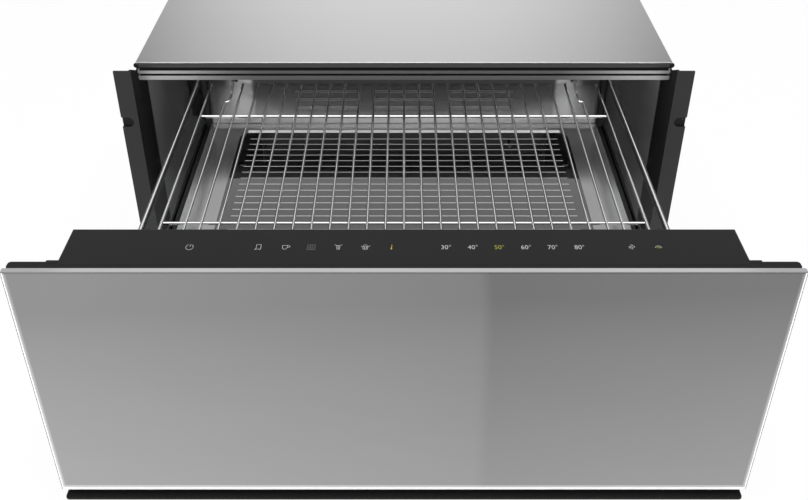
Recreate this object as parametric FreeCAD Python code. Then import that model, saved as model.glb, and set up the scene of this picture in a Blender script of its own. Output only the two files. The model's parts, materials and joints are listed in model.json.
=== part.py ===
import FreeCAD, Part
import math
import os

# Built-in warming drawer, millimetres, drawn with the drawer pulled out.
# +X right, +Y to the back, +Z up. Origin: centre of the cabinet's base underside.

Vector = FreeCAD.Vector

# ---- cabinet ----
cabinet_width = 714.0
cover_top = 302.5
cover_sheet = 1.0
cover_lip = 10.0
panel_sheet = 1.0
base_sheet = 1.2
bracket_sheet = 3.0
bracket_height = 310.0
bracket_depth = 73.0
flange_reach = 22.7
bracket_slope_top = 6.0
bracket_slope_run = 34.0
notch_depth = 16.0
notch_height = 14.0
notch_levels = (60.0, 237.0)
tab_sheet = 2.0
tab_setback = 9.0
tab_reach = 16.0
tab_margin = 7.0
tab_hole_radius = 2.25
tab_hole_rise = 3.5
liner_sheet = 1.0
cover_setback = 45.0
trim_setback = 27.0
trim_bar = 6.0
trim_web = 2.0
trim_corner = 1.4
trim_bottom = 285.5
trim_lower_bar = 6.5
trim_groove = 2.5
trim_upper_bar = 4.5
trim_end_gap = 1.5
trim_shelf = 1.5
shelf_drop = 2.25
seal_radius = 3.25
seal_length = 716.0
seal_setback = 39.0
vent_count = 24
vent_margin = 150.0
vent_width = 3.6
vent_height = 40.0
vent_bottom = 225.0

# ---- travel ----
travel = 387.0
closing_gap = 3.5
running_gap = 0.6
rest_gap = 0.3

# ---- drawer front ----
front_width = 752.0
front_bottom = 13.0
front_top = 310.0
glass_sheet = 6.0
glass_bevel = 1.2
backing_sheet = 1.2
backing_inset = 2.0
frame_inset = 5.0
frame_depth = 8.8
frame_bottom = 7.0
frame_drop = 0.5
frame_border = 25.0
frame_back = 2.0
frame_corner = 3.0
ledge_sheet = 3.0
ledge_lip = 7.7
ledge_corner = 4.0

# ---- control panel ----
control_width = 656.0
control_depth = 54.8
control_height = 28.0
control_wall = 1.5
control_glass_sheet = 3.0
control_rim = 0.8
control_lug = 10.0
board_width = 320.0
board_depth = 36.0
board_sheet = 1.6
board_post = 6.5
board_post_radius = 3.0
board_post_inset = 8.0

# ---- basin ----
basin_length = 458.0
basin_width = 533.2
basin_sheet = 1.0
basin_gap = 16.3
floor_top = 207.0
tub_bottom = 8.0
tub_flange = 18.0
tub_flange_gap = 10.0
wall_top = 280.0
channel_width = 14.4
channel_height = 16.0
channel_drop = 1.0
channel_corner = 4.0
side_glass_sheet = 4.0
side_glass_set = 6.0
side_glass_inset = 5.9
side_glass_top = 278.0
rail_width = 6.0
rail_top = 281.0
rail_height = 6.0
rail_corner = 2.6
post_depth = 8.0

# ---- heated floor ----
floor_glass_width = 444.0
floor_glass_length = 367.6
floor_glass_setback = 30.4
floor_glass_sheet = 4.0
floor_glass_proud = 0.8
floor_glass_corner = 5.0
floor_glass_gap = 0.5
strip_depth = 8.4
mat_sheet = 1.5
tray_rim = 8.0

# ---- rear wall, duct, fan ----
louvre_groups = (-106.0, 0.0, 106.0)
louvre_levels = (24.0, 36.5, 49.0)
louvre_length = 85.0
louvre_radius = 3.0
duct_width = 400.0
duct_depth = 23.0
duct_bottom = 60.0
duct_drop = 2.0
duct_flange = 14.0
duct_screw_margin = 30.0
outlet_width = 120.0
outlet_bottom = 64.0
outlet_height = 26.0
fan_setback = 118.0
fan_drum_radius = 88.0
fan_drum_top = 94.0
fan_intake_radius = 42.0
motor_radius = 32.0
motor_height = 30.0
motor_bore_depth = 20.0
motor_boss = 3.0
shaft_radius = 3.0
shaft_fit = 0.05
impeller_radius = 60.0
impeller_height = 30.0
impeller_gap = 4.0
impeller_sheet = 1.5
blade_count = 14
blade_sheet = 1.2
blade_root = 38.0
blade_lean = 24.0
hub_radius = 9.0
hub_height = 12.0
heater_radius = 3.25
heater_ring_radius = 72.0
heater_rise = 20.0
heater_legs = 14.0
heater_stub = 12.0
sensor_radius = 2.5
sensor_length = 17.0
sensor_x = 150.0
sensor_drop = 30.0
sensor_flange = 2.0

# ---- rack ----
wire_radius = 1.1
wire_pitch = 19.75
wire_count = 23
wire_height = 61.0
wire_end_gap = 3.5
jog_wire_x = 234.0
jog_inward = 5.0
jog_bend = 2.2
jog_setback = 59.0
rise_setback = 35.5
rise = 8.0
outer_wire_x = 260.0
cross_wire_radius = 1.6
cross_wire_reach = 262.0
cross_wire_setbacks = (96.2, 340.5)
front_rest_height = 5.0
front_rest_depth = 20.0
rear_rest_depth = 8.0
rear_rest_width = 8.0
rear_rest_height = 3.0

# ---- runners ----
runner_shortfall = 28.0  # how much shorter the runners are than the basin
runner_bottom = 8.0
runner_height = 46.0
runner_width = 16.0
runner_sheet = 1.5
ball_gap = 4.5
ball_radius = 1.95
ball_pitch = 20.0
ball_count = 6
cage_sheet = 0.6
cage_inset = 1.0
runner_tip_gap = 1.0
runner_web_gap = 2.1
runner_start = 28.0
runner_bracket_top = 60.0
runner_foot = 34.0

# ---- latch, inlet, power ----
latch_x = 236.0
latch_z = 90.0
latch_width = 24.0
latch_travel = 8.0
latch_gap = 0.5
latch_nose = 4.0
latch_neck = 6.0
latch_length = 31.5
plunger_radius = 4.0
plunger_collar = 6.0
plunger_collar_depth = 3.0
spring_wire = 0.5
spring_radius = 5.0
spring_turns = 5
inlet_x = -300.0
inlet_z = 40.0
inlet_width = 48.0
inlet_height = 28.0
inlet_depth = 26.0
inlet_flange = 6.0
inlet_flange_sheet = 2.0
socket_width = 24.0
socket_height = 16.0
socket_depth = 17.0
pin_width = 2.0
pin_height = 4.0
pin_length = 11.0
pin_pitch = 7.0
module_width = 38.0
module_depth = 140.0
module_height = 90.0
module_bottom = 90.0
module_setback = 46.0
module_corner = 3.0

# ---- screws ----
screw_radius = 2.0
screw_head_radius = 3.6
screw_head = 1.0
screw_length = 4.8
hole_clearance = 0.1
bracket_screw_setback = 12.0
bracket_screw_margin = 36.0
runner_screw_margin = 30.0
flange_screw_margin = 20.0

# ---- planes worked out from the sizes above ----
control_set = closing_gap + control_depth - trim_setback  # its front edge, closed, before the flanges
latch_room = latch_gap + latch_travel + latch_nose + latch_length
cabinet_depth = basin_gap + basin_length - control_set + latch_room + panel_sheet
flange_plane = -cabinet_depth / 2
rear_plane = cabinet_depth / 2
cover_half = cabinet_width / 2
side_outer = cover_half - cover_sheet
side_inner = side_outer - panel_sheet
bay_half = side_inner - bracket_sheet
bracket_rear = flange_plane + bracket_depth
cover_front = flange_plane + cover_setback
cover_under = cover_top - cover_sheet
trim_face = flange_plane + trim_setback
trim_back = trim_face + trim_bar + trim_web
trim_top = trim_bottom + trim_lower_bar + trim_groove + trim_upper_bar
shelf_top = trim_top - shelf_drop
seal_y = flange_plane + seal_setback
seal_z = shelf_top + seal_radius
liner_top = trim_bottom + liner_sheet

control_rear = trim_face - closing_gap - travel
frame_rear = control_rear - control_depth
backing_rear = frame_rear - frame_depth
glass_rear = backing_rear - backing_sheet
glass_face = glass_rear - glass_sheet
control_bottom = front_top - control_height

basin_front = frame_rear + basin_gap
basin_rear = basin_front + basin_length
wall_face = basin_rear - basin_sheet
basin_half = basin_width / 2
tub_top = floor_top - basin_sheet
channel_outer = basin_half + channel_width
channel_top = floor_top - channel_drop
channel_bottom = channel_top - channel_height
side_glass_inner = basin_half + side_glass_inset
side_glass_outer = side_glass_inner + side_glass_sheet
side_glass_middle = (side_glass_inner + side_glass_outer) / 2
wall_half = side_glass_middle - rail_width / 2
post_face = basin_rear - post_depth
rail_bottom = rail_top - rail_height

floor_glass_half = floor_glass_width / 2
floor_glass_top = floor_top + floor_glass_proud
floor_glass_under = floor_glass_top - floor_glass_sheet
strip_rear = wall_face - floor_glass_setback + strip_depth + floor_glass_gap
floor_glass_rear = wall_face - floor_glass_setback
floor_glass_front = floor_glass_rear - floor_glass_length
mat_under = floor_glass_under - mat_sheet

duct_rear = basin_rear + duct_depth
fan_y = wall_face - fan_setback
tub_floor_top = tub_bottom + basin_sheet
motor_top = tub_floor_top + motor_height
impeller_low = motor_top + motor_boss + impeller_gap
heater_z = motor_top + heater_rise
heater_leg_y = fan_y - math.sqrt(heater_ring_radius**2 - heater_legs**2)

wire_z = floor_top + wire_height
wire_front = basin_front + basin_sheet + wire_end_gap
wire_rear = wall_face - wire_end_gap

runner_length = basin_length - runner_shortfall
runner_middle_travel = travel / 2
cabinet_runner_front = flange_plane + runner_start


def box(x_range, y_range, z_range):
    sizes = [high - low for low, high in (x_range, y_range, z_range)]
    return Part.makeBox(*sizes, Vector(x_range[0], y_range[0], z_range[0]))


def wide_box(half, y_range, z_range):
    return box((-half, half), y_range, z_range)


def rod(start, end, radius):
    start = Vector(*start)
    run = Vector(*end) - start
    return Part.makeCylinder(radius, run.Length, start, run)


def ball(centre, radius):
    return Part.makeSphere(radius, Vector(*centre))


def bent_rod(points, radius, bend):
    """Rod along straight runs joined by tangent arcs of one bend radius."""
    corners = [Vector(*point) for point in points]
    edges = []
    last = corners[0]
    for before, corner, after in zip(corners, corners[1:], corners[2:]):
        way_in = (corner - before).normalize()
        way_out = (after - corner).normalize()
        half_turn = way_in.getAngle(way_out) / 2
        setback = bend * math.tan(half_turn)
        inward = (way_out - way_in).normalize()
        start = corner - way_in * setback
        end = corner + way_out * setback
        middle = corner + inward * (bend / math.cos(half_turn) - bend)
        edges.append(Part.makeLine(last, start))
        edges.append(Part.Arc(start, middle, end).toShape())
        last = end
    edges.append(Part.makeLine(last, corners[-1]))
    path = Part.Wire(edges)
    profile = Part.Wire(Part.makeCircle(radius, corners[0], corners[1] - corners[0]))
    return path.makePipeShell([profile], True, False)


def prism(points, sweep):
    corners = [Vector(*point) for point in points]
    face = Part.Face(Part.makePolygon(corners + corners[:1]))
    return face.extrude(Vector(*sweep))


def rounded(shape, radius, picks):
    """Fillet the straight edges whose middle passes the test."""
    edges = [edge for edge in shape.Edges if picks(edge.CenterOfMass, edge)]
    return shape.makeFillet(radius, edges)


def mirrored(shape):
    return shape.mirror(Vector(0, 0, 0), Vector(1, 0, 0))


def group(shapes):
    return Part.makeCompound(shapes)


def shell(x_range, y_range, z_range, wall, open_sides):
    """Sheet box: the named sides are left open."""
    low = [x_range[0], y_range[0], z_range[0]]
    high = [x_range[1], y_range[1], z_range[1]]
    for axis, name in enumerate("xyz"):
        if "-" + name not in open_sides:
            low[axis] += wall
        if "+" + name not in open_sides:
            high[axis] -= wall
    return box(x_range, y_range, z_range).cut(box(*zip(low, high)))


def screw(seat, direction, length=screw_length):
    """Pan-head screw: the head lies on the seat, the shank runs along the direction."""
    way = Vector(*direction)
    seat = Vector(*seat)
    shank = Part.makeCylinder(screw_radius, length, seat, way)
    head = Part.makeCylinder(screw_head_radius, screw_head, seat, way * -1)
    return shank.fuse(head).removeSplitter()


def drilled(shape, seats, direction):
    """Clearance holes for the screws' shanks."""
    way = Vector(*direction)
    radius = screw_radius + hole_clearance
    holes = []
    for seat in seats:
        start = Vector(*seat) - way * screw_length
        holes.append(Part.makeCylinder(radius, 3 * screw_length, start, way))
    return shape.cut(holes)


def mirror_seats(seats):
    return [(-x, y, z) for x, y, z in seats]


def spread(low, high, count, margin):
    """Evenly spaced stations between two ends."""
    step = (high - low - 2 * margin) / (count - 1)
    return [low + margin + step * index for index in range(count)]


# ---- screw seats, on the right side ----
runner_outer_x = basin_half + runner_width
runner_middle_z = runner_bottom + runner_height / 2
drawer_runner_front = cabinet_runner_front - travel
flange_low = runner_bracket_top + tub_flange_gap
flange_high = channel_bottom - basin_sheet


def runner_stations(front):
    return spread(front, front + runner_length, 3, runner_screw_margin)


bracket_seats = [
    (side_outer, bracket_rear - bracket_screw_setback, z)
    for z in spread(base_sheet, trim_bottom, 3, bracket_screw_margin)
]
cabinet_runner_seats = [
    (runner_outer_x - runner_sheet, y, runner_middle_z)
    for y in runner_stations(cabinet_runner_front)
]
drawer_runner_seats = [
    (basin_half + runner_sheet, y, runner_middle_z)
    for y in runner_stations(drawer_runner_front)
]
tub_flange_seats = [
    (basin_half + tub_flange / 2, frame_rear + basin_sheet, z)
    for z in spread(flange_low, flange_high, 2, flange_screw_margin)
]
duct_seats = [
    (duct_width / 2 + duct_flange / 2, basin_rear + basin_sheet, z)
    for z in spread(duct_bottom, tub_top, 2, duct_screw_margin)
]


# ---- cabinet ----
def base_plate():
    return wide_box(side_inner, (flange_plane, rear_plane - panel_sheet), (0, base_sheet))


def right_side_panel():
    panel = box((side_inner, side_outer), (cover_front, rear_plane), (0, cover_under))
    return drilled(panel, bracket_seats, (1, 0, 0))


def back_panel():
    panel = wide_box(side_inner, (rear_plane - panel_sheet, rear_plane), (0, cover_under))
    panel = panel.cut(
        box(
            (inlet_x - inlet_width / 2, inlet_x + inlet_width / 2),
            (rear_plane - 2 * panel_sheet, rear_plane + panel_sheet),
            (inlet_z - inlet_height / 2, inlet_z + inlet_height / 2),
        )
    )
    slots = []
    for x in spread(-side_inner, side_inner, vent_count, vent_margin):
        slots.append(
            box(
                (x - vent_width / 2, x + vent_width / 2),
                (rear_plane - 2 * panel_sheet, rear_plane + panel_sheet),
                (vent_bottom, vent_bottom + vent_height),
            )
        )
    return panel.cut(slots)


def top_cover():
    sheet = wide_box(cover_half, (cover_front, rear_plane), (cover_under, cover_top))
    lip = box(
        (side_outer, cover_half), (cover_front, rear_plane), (cover_under - cover_lip, cover_under)
    )
    hem = wide_box(
        side_inner, (cover_front, cover_front + cover_sheet), (shelf_top, cover_under)
    )
    return sheet.fuse([lip, mirrored(lip), hem]).removeSplitter()


def notch_tab(z):
    """Sheet tab behind a screw notch, with a pilot hole for the niche's screw."""
    wall = bay_half + bracket_sheet
    front = flange_plane + tab_setback
    half = notch_height / 2 + tab_margin
    tab = box((wall, wall + tab_reach), (front, front + tab_sheet), (z - half, z + half))
    hole_x = bay_half + flange_reach - notch_depth + notch_height / 2
    hole_z = z + tab_hole_rise
    hole = rod((hole_x, front, hole_z), (hole_x, front + tab_sheet, hole_z), tab_hole_radius)
    return tab.cut(hole)


def right_mounting_bracket():
    profile = [
        (bay_half, flange_plane, base_sheet),
        (bay_half, bracket_rear, base_sheet),
        (bay_half, bracket_rear, seal_z - seal_radius - running_gap),
        (bay_half, flange_plane + bracket_slope_run, seal_z - seal_radius - running_gap),
        (bay_half, flange_plane + bracket_slope_top, bracket_height),
        (bay_half, flange_plane, bracket_height),
    ]
    wall = prism(profile, (bracket_sheet, 0, 0))
    flange = box(
        (bay_half, bay_half + flange_reach),
        (flange_plane, flange_plane + bracket_sheet),
        (base_sheet, bracket_height),
    )
    bracket = wall.fuse(flange).removeSplitter()
    edge = bay_half + flange_reach
    half = notch_height / 2
    notches = []
    for z in notch_levels:
        notches.append(
            box(
                (edge - notch_depth + half, edge + half),
                (flange_plane - half, flange_plane + half),
                (z - half, z + half),
            )
        )
        centre_x = edge - notch_depth + half
        notches.append(
            rod((centre_x, flange_plane - half, z), (centre_x, flange_plane + half, z), half)
        )
    bracket = bracket.cut(notches).fuse([notch_tab(z) for z in notch_levels])
    return drilled(bracket.removeSplitter(), bracket_seats, (1, 0, 0))


def top_trim():
    """Two bars with rounded faces on a web, and a shelf that carries the seal."""
    half = bay_half - trim_end_gap
    web = wide_box(half, (trim_face + trim_bar, trim_back), (trim_bottom, trim_top))

    def bar(z_range):
        return rounded(
            wide_box(half, (trim_face, trim_face + trim_bar), z_range),
            trim_corner,
            lambda middle, edge: edge.BoundBox.YMax < trim_face + 0.01,
        )

    lower = bar((trim_bottom, trim_bottom + trim_lower_bar))
    upper = bar((trim_top - trim_upper_bar, trim_top))
    shelf = wide_box(
        half, (trim_back, cover_front + cover_sheet), (shelf_top - trim_shelf, shelf_top)
    )
    return web.fuse([lower, upper, shelf]).removeSplitter()


def top_seal():
    reach = seal_length / 2 - seal_radius
    ends = [(-reach, seal_y, seal_z), (reach, seal_y, seal_z)]
    tube = rod(ends[0], ends[1], seal_radius)
    return tube.fuse([ball(end, seal_radius) for end in ends]).removeSplitter()


def ceiling_liner():
    return wide_box(bay_half, (trim_back, rear_plane - panel_sheet), (trim_bottom, liner_top))


def ceiling_insulation():
    return wide_box(
        bay_half - liner_sheet,
        (cover_front + cover_sheet, rear_plane - panel_sheet),
        (liner_top, cover_under),
    )


def right_inner_liner():
    return box(
        (bay_half, bay_half + liner_sheet),
        (bracket_rear, rear_plane - panel_sheet),
        (base_sheet, liner_top),
    )


def mains_inlet():
    face = rear_plane
    body = box(
        (inlet_x - inlet_width / 2, inlet_x + inlet_width / 2),
        (face - inlet_depth, face),
        (inlet_z - inlet_height / 2, inlet_z + inlet_height / 2),
    )
    rim = box(
        (inlet_x - inlet_width / 2 - inlet_flange, inlet_x + inlet_width / 2 + inlet_flange),
        (face - panel_sheet - inlet_flange_sheet, face - panel_sheet),
        (inlet_z - inlet_height / 2 - inlet_flange, inlet_z + inlet_height / 2 + inlet_flange),
    )
    socket = box(
        (inlet_x - socket_width / 2, inlet_x + socket_width / 2),
        (face - socket_depth, face),
        (inlet_z - socket_height / 2, inlet_z + socket_height / 2),
    )
    pins = []
    for step, lift in ((-1, -1), (0, 1), (1, -1)):
        x = inlet_x + step * pin_pitch
        z = inlet_z + lift * pin_width
        pins.append(
            box(
                (x - pin_width / 2, x + pin_width / 2),
                (face - socket_depth, face - socket_depth + pin_length),
                (z - pin_height / 2, z + pin_height / 2),
            )
        )
    return body.fuse(rim).cut(socket).fuse(pins).removeSplitter()


def power_module():
    return rounded(
        box(
            (-bay_half, -bay_half + module_width),
            (
                rear_plane - module_setback - module_depth,
                rear_plane - module_setback,
            ),
            (module_bottom, module_bottom + module_height),
        ),
        module_corner,
        lambda middle, edge: middle.x > -bay_half + module_width - 0.01,
    )


# ---- runners, drawn for the right side ----
def channel_member(web_x, web_sheet, tip_x, y_front, z_range):
    """C-shaped member: a web with two flanges that point to the drawer's side."""
    low, high = z_range
    left, right = sorted((web_x, tip_x))
    web_left = web_x - web_sheet if tip_x < web_x else web_x
    y_range = (y_front, y_front + runner_length)
    web = box((web_left, web_left + web_sheet), y_range, z_range)
    lower = box((left, right), y_range, (low, low + runner_sheet))
    upper = box((left, right), y_range, (high - runner_sheet, high))
    return web.fuse([lower, upper]).removeSplitter()


outer_z = (runner_bottom, runner_bottom + runner_height)
middle_z = (outer_z[0] + runner_sheet + ball_gap, outer_z[1] - runner_sheet - ball_gap)
inner_z = (middle_z[0] + runner_sheet + ball_gap, middle_z[1] - runner_sheet - ball_gap)
runner_tip = basin_half + runner_sheet + runner_tip_gap
middle_web_x = runner_outer_x - runner_sheet - runner_web_gap
inner_tip = middle_web_x - runner_sheet - cage_sheet - running_gap
ball_x = (runner_tip + inner_tip) / 2
middle_front = cabinet_runner_front - runner_middle_travel


def right_runner_outer():
    member = channel_member(
        runner_outer_x, runner_sheet, runner_tip, cabinet_runner_front, outer_z
    )
    return drilled(member, cabinet_runner_seats, (1, 0, 0))


def right_runner_middle():
    return channel_member(middle_web_x, runner_sheet, runner_tip, middle_front, middle_z)


def right_runner_inner():
    member = channel_member(basin_half, runner_sheet, inner_tip, drawer_runner_front, inner_z)
    return drilled(member, drawer_runner_seats, (1, 0, 0))


def ball_cage(leg_x, y_start, low, high):
    """Strip with two rows of balls, held by the leg that slides on the middle member's web."""
    length = ball_pitch * ball_count
    half = cage_sheet / 2
    y_range = (y_start, y_start + length)
    tip = runner_tip + cage_inset
    leg = box((leg_x, leg_x + cage_sheet), y_range, (low - half, high + half))
    pieces = []
    for level in (low, high):
        pieces.append(box((tip, leg_x + cage_sheet), y_range, (level - half, level + half)))
        for index in range(ball_count):
            y = y_start + ball_pitch * (index + 0.5)
            pieces.append(ball((ball_x, y, level), ball_radius))
    return leg.fuse(pieces).removeSplitter()


def right_ball_cages():
    outer_low = outer_z[0] + runner_sheet + ball_gap / 2
    outer_high = outer_z[1] - runner_sheet - ball_gap / 2
    inner_low = middle_z[0] + runner_sheet + ball_gap / 2
    inner_high = middle_z[1] - runner_sheet - ball_gap / 2
    cage_length = ball_pitch * ball_count
    overlap = runner_length - runner_middle_travel
    margin = (overlap - cage_length) / 2
    rear_start = middle_front + runner_length - margin - cage_length
    front_start = middle_front + margin
    outer_cage = ball_cage(middle_web_x, rear_start, outer_low, outer_high)
    inner_cage = ball_cage(
        middle_web_x - runner_sheet - cage_sheet, front_start, inner_low, inner_high
    )
    return group([outer_cage, inner_cage])


def right_runner_bracket():
    y_range = (cabinet_runner_front, cabinet_runner_front + runner_length)
    web = box(
        (runner_outer_x, runner_outer_x + runner_sheet), y_range, (base_sheet, runner_bracket_top)
    )
    foot = box(
        (runner_outer_x, runner_outer_x + runner_foot),
        y_range,
        (base_sheet, base_sheet + runner_sheet),
    )
    return drilled(web.fuse(foot).removeSplitter(), cabinet_runner_seats, (1, 0, 0))


# ---- push-to-open latch ----
latch_tip_y = basin_rear + travel + latch_gap
latch_back = rear_plane - panel_sheet
latch_front = latch_tip_y + latch_travel + latch_nose
latch_chamber = latch_front + latch_neck
collar_y = latch_chamber + rest_gap


def latch_body():
    half = latch_width / 2
    body = box(
        (latch_x - half, latch_x + half),
        (latch_front, latch_back),
        (latch_z - half, latch_z + half),
    )
    bore = rod(
        (latch_x, latch_front - latch_nose, latch_z),
        (latch_x, latch_chamber, latch_z),
        plunger_radius + shaft_fit,
    )
    chamber = rod(
        (latch_x, latch_chamber, latch_z),
        (latch_x, latch_back, latch_z),
        plunger_collar + running_gap,
    )
    return body.cut([bore, chamber])


def latch_plunger():
    stem = rod((latch_x, latch_tip_y, latch_z), (latch_x, collar_y, latch_z), plunger_radius)
    collar = rod(
        (latch_x, collar_y, latch_z),
        (latch_x, collar_y + plunger_collar_depth, latch_z),
        plunger_collar,
    )
    return stem.fuse(collar).removeSplitter()


def latch_spring():
    start = collar_y + plunger_collar_depth + rest_gap + spring_wire
    length = latch_back - spring_wire - start
    helix = Part.makeHelix(length / spring_turns, length, spring_radius)
    profile = Part.Wire(
        Part.makeCircle(spring_wire, Vector(spring_radius, 0, 0), Vector(0, 1, 0))
    )
    coil = Part.Wire(helix).makePipeShell([profile], True, True)
    coil.rotate(Vector(0, 0, 0), Vector(1, 0, 0), -90)
    coil.translate(Vector(latch_x, start, latch_z))
    return coil


# ---- drawer front ----
def front_glass():
    pane = wide_box(front_width / 2, (glass_face, glass_rear), (front_bottom, front_top))
    front_edges = [edge for edge in pane.Edges if edge.BoundBox.YMax < glass_face + 0.01]
    return pane.makeChamfer(glass_bevel, front_edges)


def front_backing():
    return wide_box(
        front_width / 2 - backing_inset,
        (glass_rear, backing_rear),
        (front_bottom + backing_inset, front_top - backing_inset),
    )


def front_frame():
    half = front_width / 2 - frame_inset
    top = front_top - frame_drop
    frame = wide_box(half, (backing_rear, frame_rear), (frame_bottom, top))
    frame = rounded(
        frame,
        frame_corner,
        lambda middle, edge: abs(middle.x) > half - 0.01 and middle.y > frame_rear - 0.01
        and abs(middle.z - (frame_bottom + top) / 2) < 1.0,
    )
    pocket = wide_box(
        half - frame_border,
        (backing_rear, frame_rear - frame_back),
        (frame_bottom + frame_border, top - frame_border),
    )
    return drilled(frame.cut(pocket), tub_flange_seats + mirror_seats(tub_flange_seats), (0, 1, 0))


def bottom_ledge():
    half = front_width / 2 - frame_inset
    ledge = wide_box(
        half, (glass_face - ledge_lip, frame_rear), (frame_bottom - ledge_sheet, frame_bottom)
    )
    return rounded(
        ledge,
        ledge_corner,
        lambda middle, edge: abs(middle.x) > half - 0.01
        and abs(middle.z - frame_bottom + ledge_sheet / 2) < 0.01,
    )


def front_insulation():
    return wide_box(
        basin_half - 2 * basin_sheet,
        (frame_rear, basin_front),
        (tub_floor_top + basin_sheet, wall_top - basin_sheet),
    )


# ---- control panel ----
def control_box():
    half = control_width / 2
    rabbet_z = front_top - control_glass_sheet
    body = wide_box(half, (frame_rear, control_rear), (control_bottom, front_top))
    lugs = wide_box(
        half + control_lug, (frame_rear, frame_rear + control_wall), (control_bottom, rabbet_z)
    )
    body = body.fuse(lugs)
    cavity = wide_box(
        half - control_wall - control_rim,
        (frame_rear + control_wall + control_rim, control_rear - control_wall - control_rim),
        (control_bottom + control_wall, front_top),
    )
    rabbet = wide_box(
        half - control_rim, (frame_rear + control_rim, control_rear - control_rim),
        (rabbet_z, front_top),
    )
    body = body.cut([cavity, rabbet])
    posts = []
    post_foot = control_bottom + control_wall
    board_y = (frame_rear + control_rear) / 2
    reach_x = board_width / 2 - board_post_inset
    reach_y = board_depth / 2 - board_post_inset
    for x in (-reach_x, reach_x):
        for y in (board_y - reach_y, board_y + reach_y):
            posts.append(
                rod((x, y, post_foot), (x, y, post_foot + board_post), board_post_radius)
            )
    return body.fuse(posts).removeSplitter()


def control_glass():
    rabbet_z = front_top - control_glass_sheet
    return wide_box(
        control_width / 2 - control_rim,
        (frame_rear + control_rim, control_rear - control_rim),
        (rabbet_z, front_top),
    )


def control_board():
    low = control_bottom + control_wall + board_post
    middle = (frame_rear + control_rear) / 2
    return wide_box(
        board_width / 2,
        (middle - board_depth / 2, middle + board_depth / 2),
        (low, low + board_sheet),
    )


# ---- basin ----
def drawer_tub():
    tub = shell(
        (-basin_half, basin_half),
        (basin_front, basin_rear),
        (tub_bottom, tub_top),
        basin_sheet,
        ("+z",),
    )
    arm = box(
        (basin_half - basin_sheet, basin_half),
        (frame_rear, basin_front + basin_sheet),
        (tub_bottom, tub_top),
    )
    flange = box(
        (basin_half - basin_sheet, basin_half + tub_flange),
        (frame_rear, frame_rear + basin_sheet),
        (flange_low, flange_high),
    )
    tub = tub.fuse([arm, mirrored(arm), flange, mirrored(flange)]).removeSplitter()
    outlet = wide_box(
        outlet_width / 2,
        (basin_rear - 2 * basin_sheet, basin_rear + basin_sheet),
        (outlet_bottom, outlet_bottom + outlet_height),
    )
    tub = tub.cut(outlet)
    tub = drilled(tub, drawer_runner_seats + mirror_seats(drawer_runner_seats), (1, 0, 0))
    tub = drilled(tub, tub_flange_seats + mirror_seats(tub_flange_seats), (0, 1, 0))
    return drilled(tub, duct_seats + mirror_seats(duct_seats), (0, 1, 0))


def floor_pan():
    """Sheet with an opening for the glass, and a raised hem along the glass's rear edge."""
    pan = wide_box(basin_half, (basin_front, basin_rear), (tub_top, floor_top))
    cut = wide_box(
        floor_glass_half + floor_glass_gap,
        (floor_glass_front - floor_glass_gap, strip_rear),
        (tub_top - basin_sheet, floor_top + basin_sheet),
    )
    cut = rounded(
        cut,
        floor_glass_corner + floor_glass_gap,
        lambda middle, edge: abs(middle.z - tub_top - basin_sheet / 2) < 0.01,
    )
    hem = wide_box(
        floor_glass_half + floor_glass_gap,
        (floor_glass_rear + floor_glass_gap, strip_rear),
        (tub_top, floor_glass_top),
    )
    return pan.cut(cut).fuse(hem).removeSplitter()


def floor_glass():
    pane = wide_box(
        floor_glass_half,
        (floor_glass_front, floor_glass_rear),
        (floor_glass_under, floor_glass_top),
    )
    middle_z_level = (floor_glass_under + floor_glass_top) / 2
    return rounded(
        pane,
        floor_glass_corner,
        lambda middle, edge: abs(middle.z - middle_z_level) < 0.01,
    )


def heater_mat():
    return wide_box(
        floor_glass_half - floor_glass_corner,
        (floor_glass_front + floor_glass_corner, floor_glass_rear - floor_glass_corner),
        (mat_under, floor_glass_under),
    )


def heater_tray():
    """Tray under the mat and the glass, with a rim up to the floor pan."""
    half = floor_glass_half + tray_rim
    y_range = (floor_glass_front - tray_rim, strip_rear + tray_rim)
    return shell((-half, half), y_range, (mat_under - basin_sheet, tub_top), basin_sheet, ("+z",))


def inner_front_wall():
    return wide_box(
        wall_half,
        (basin_front, basin_front + basin_sheet),
        (floor_top, control_bottom),
    )


def rear_wall():
    """Sheet with bridge louvres: half-round ridges, open behind and at their ends."""
    wall = wide_box(basin_half, (wall_face, basin_rear), (floor_top, wall_top))
    ridges = []
    hollows = []
    for x in louvre_groups:
        for level in louvre_levels:
            z = floor_top + level
            start = (x - louvre_length / 2, wall_face, z)
            end = (x + louvre_length / 2, wall_face, z)
            ridges.append(rod(start, end, louvre_radius))
            hollows.append(rod(start, end, louvre_radius - basin_sheet))
    sight = box(
        (-basin_half, basin_half),
        (basin_rear, basin_rear + 2 * louvre_radius),
        (floor_top, wall_top),
    )
    return wall.fuse(ridges).cut(hollows + [sight]).removeSplitter()


def right_side_channel():
    """Channel that holds the side glass, with a corner post at its rear end."""
    body = box(
        (basin_half, channel_outer), (basin_front, basin_rear), (channel_bottom, channel_top)
    )
    body = rounded(
        body,
        channel_corner,
        lambda middle, edge: edge.BoundBox.YLength > 1.0 and middle.x > channel_outer - 0.01,
    )
    slot = box(
        (side_glass_inner, side_glass_outer),
        (basin_front, post_face),
        (channel_top - side_glass_set, channel_top),
    )
    post = box(
        (basin_half, side_glass_outer), (post_face, basin_rear), (channel_top, rail_bottom)
    )
    return body.cut(slot).fuse(post).removeSplitter()


def right_side_glass():
    return box(
        (side_glass_inner, side_glass_outer),
        (basin_front, post_face),
        (channel_top - side_glass_set, side_glass_top),
    )


def right_top_rail():
    half = rail_width / 2
    body = box(
        (side_glass_middle - half, side_glass_middle + half),
        (basin_front, basin_rear),
        (rail_bottom, rail_top),
    )
    body = rounded(
        body,
        rail_corner,
        lambda middle, edge: edge.BoundBox.YLength > 1.0 and middle.z > rail_top - 0.01,
    )
    slot = box(
        (side_glass_inner, side_glass_outer),
        (basin_front, post_face),
        (rail_bottom, side_glass_top),
    )
    return body.cut(slot)


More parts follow.
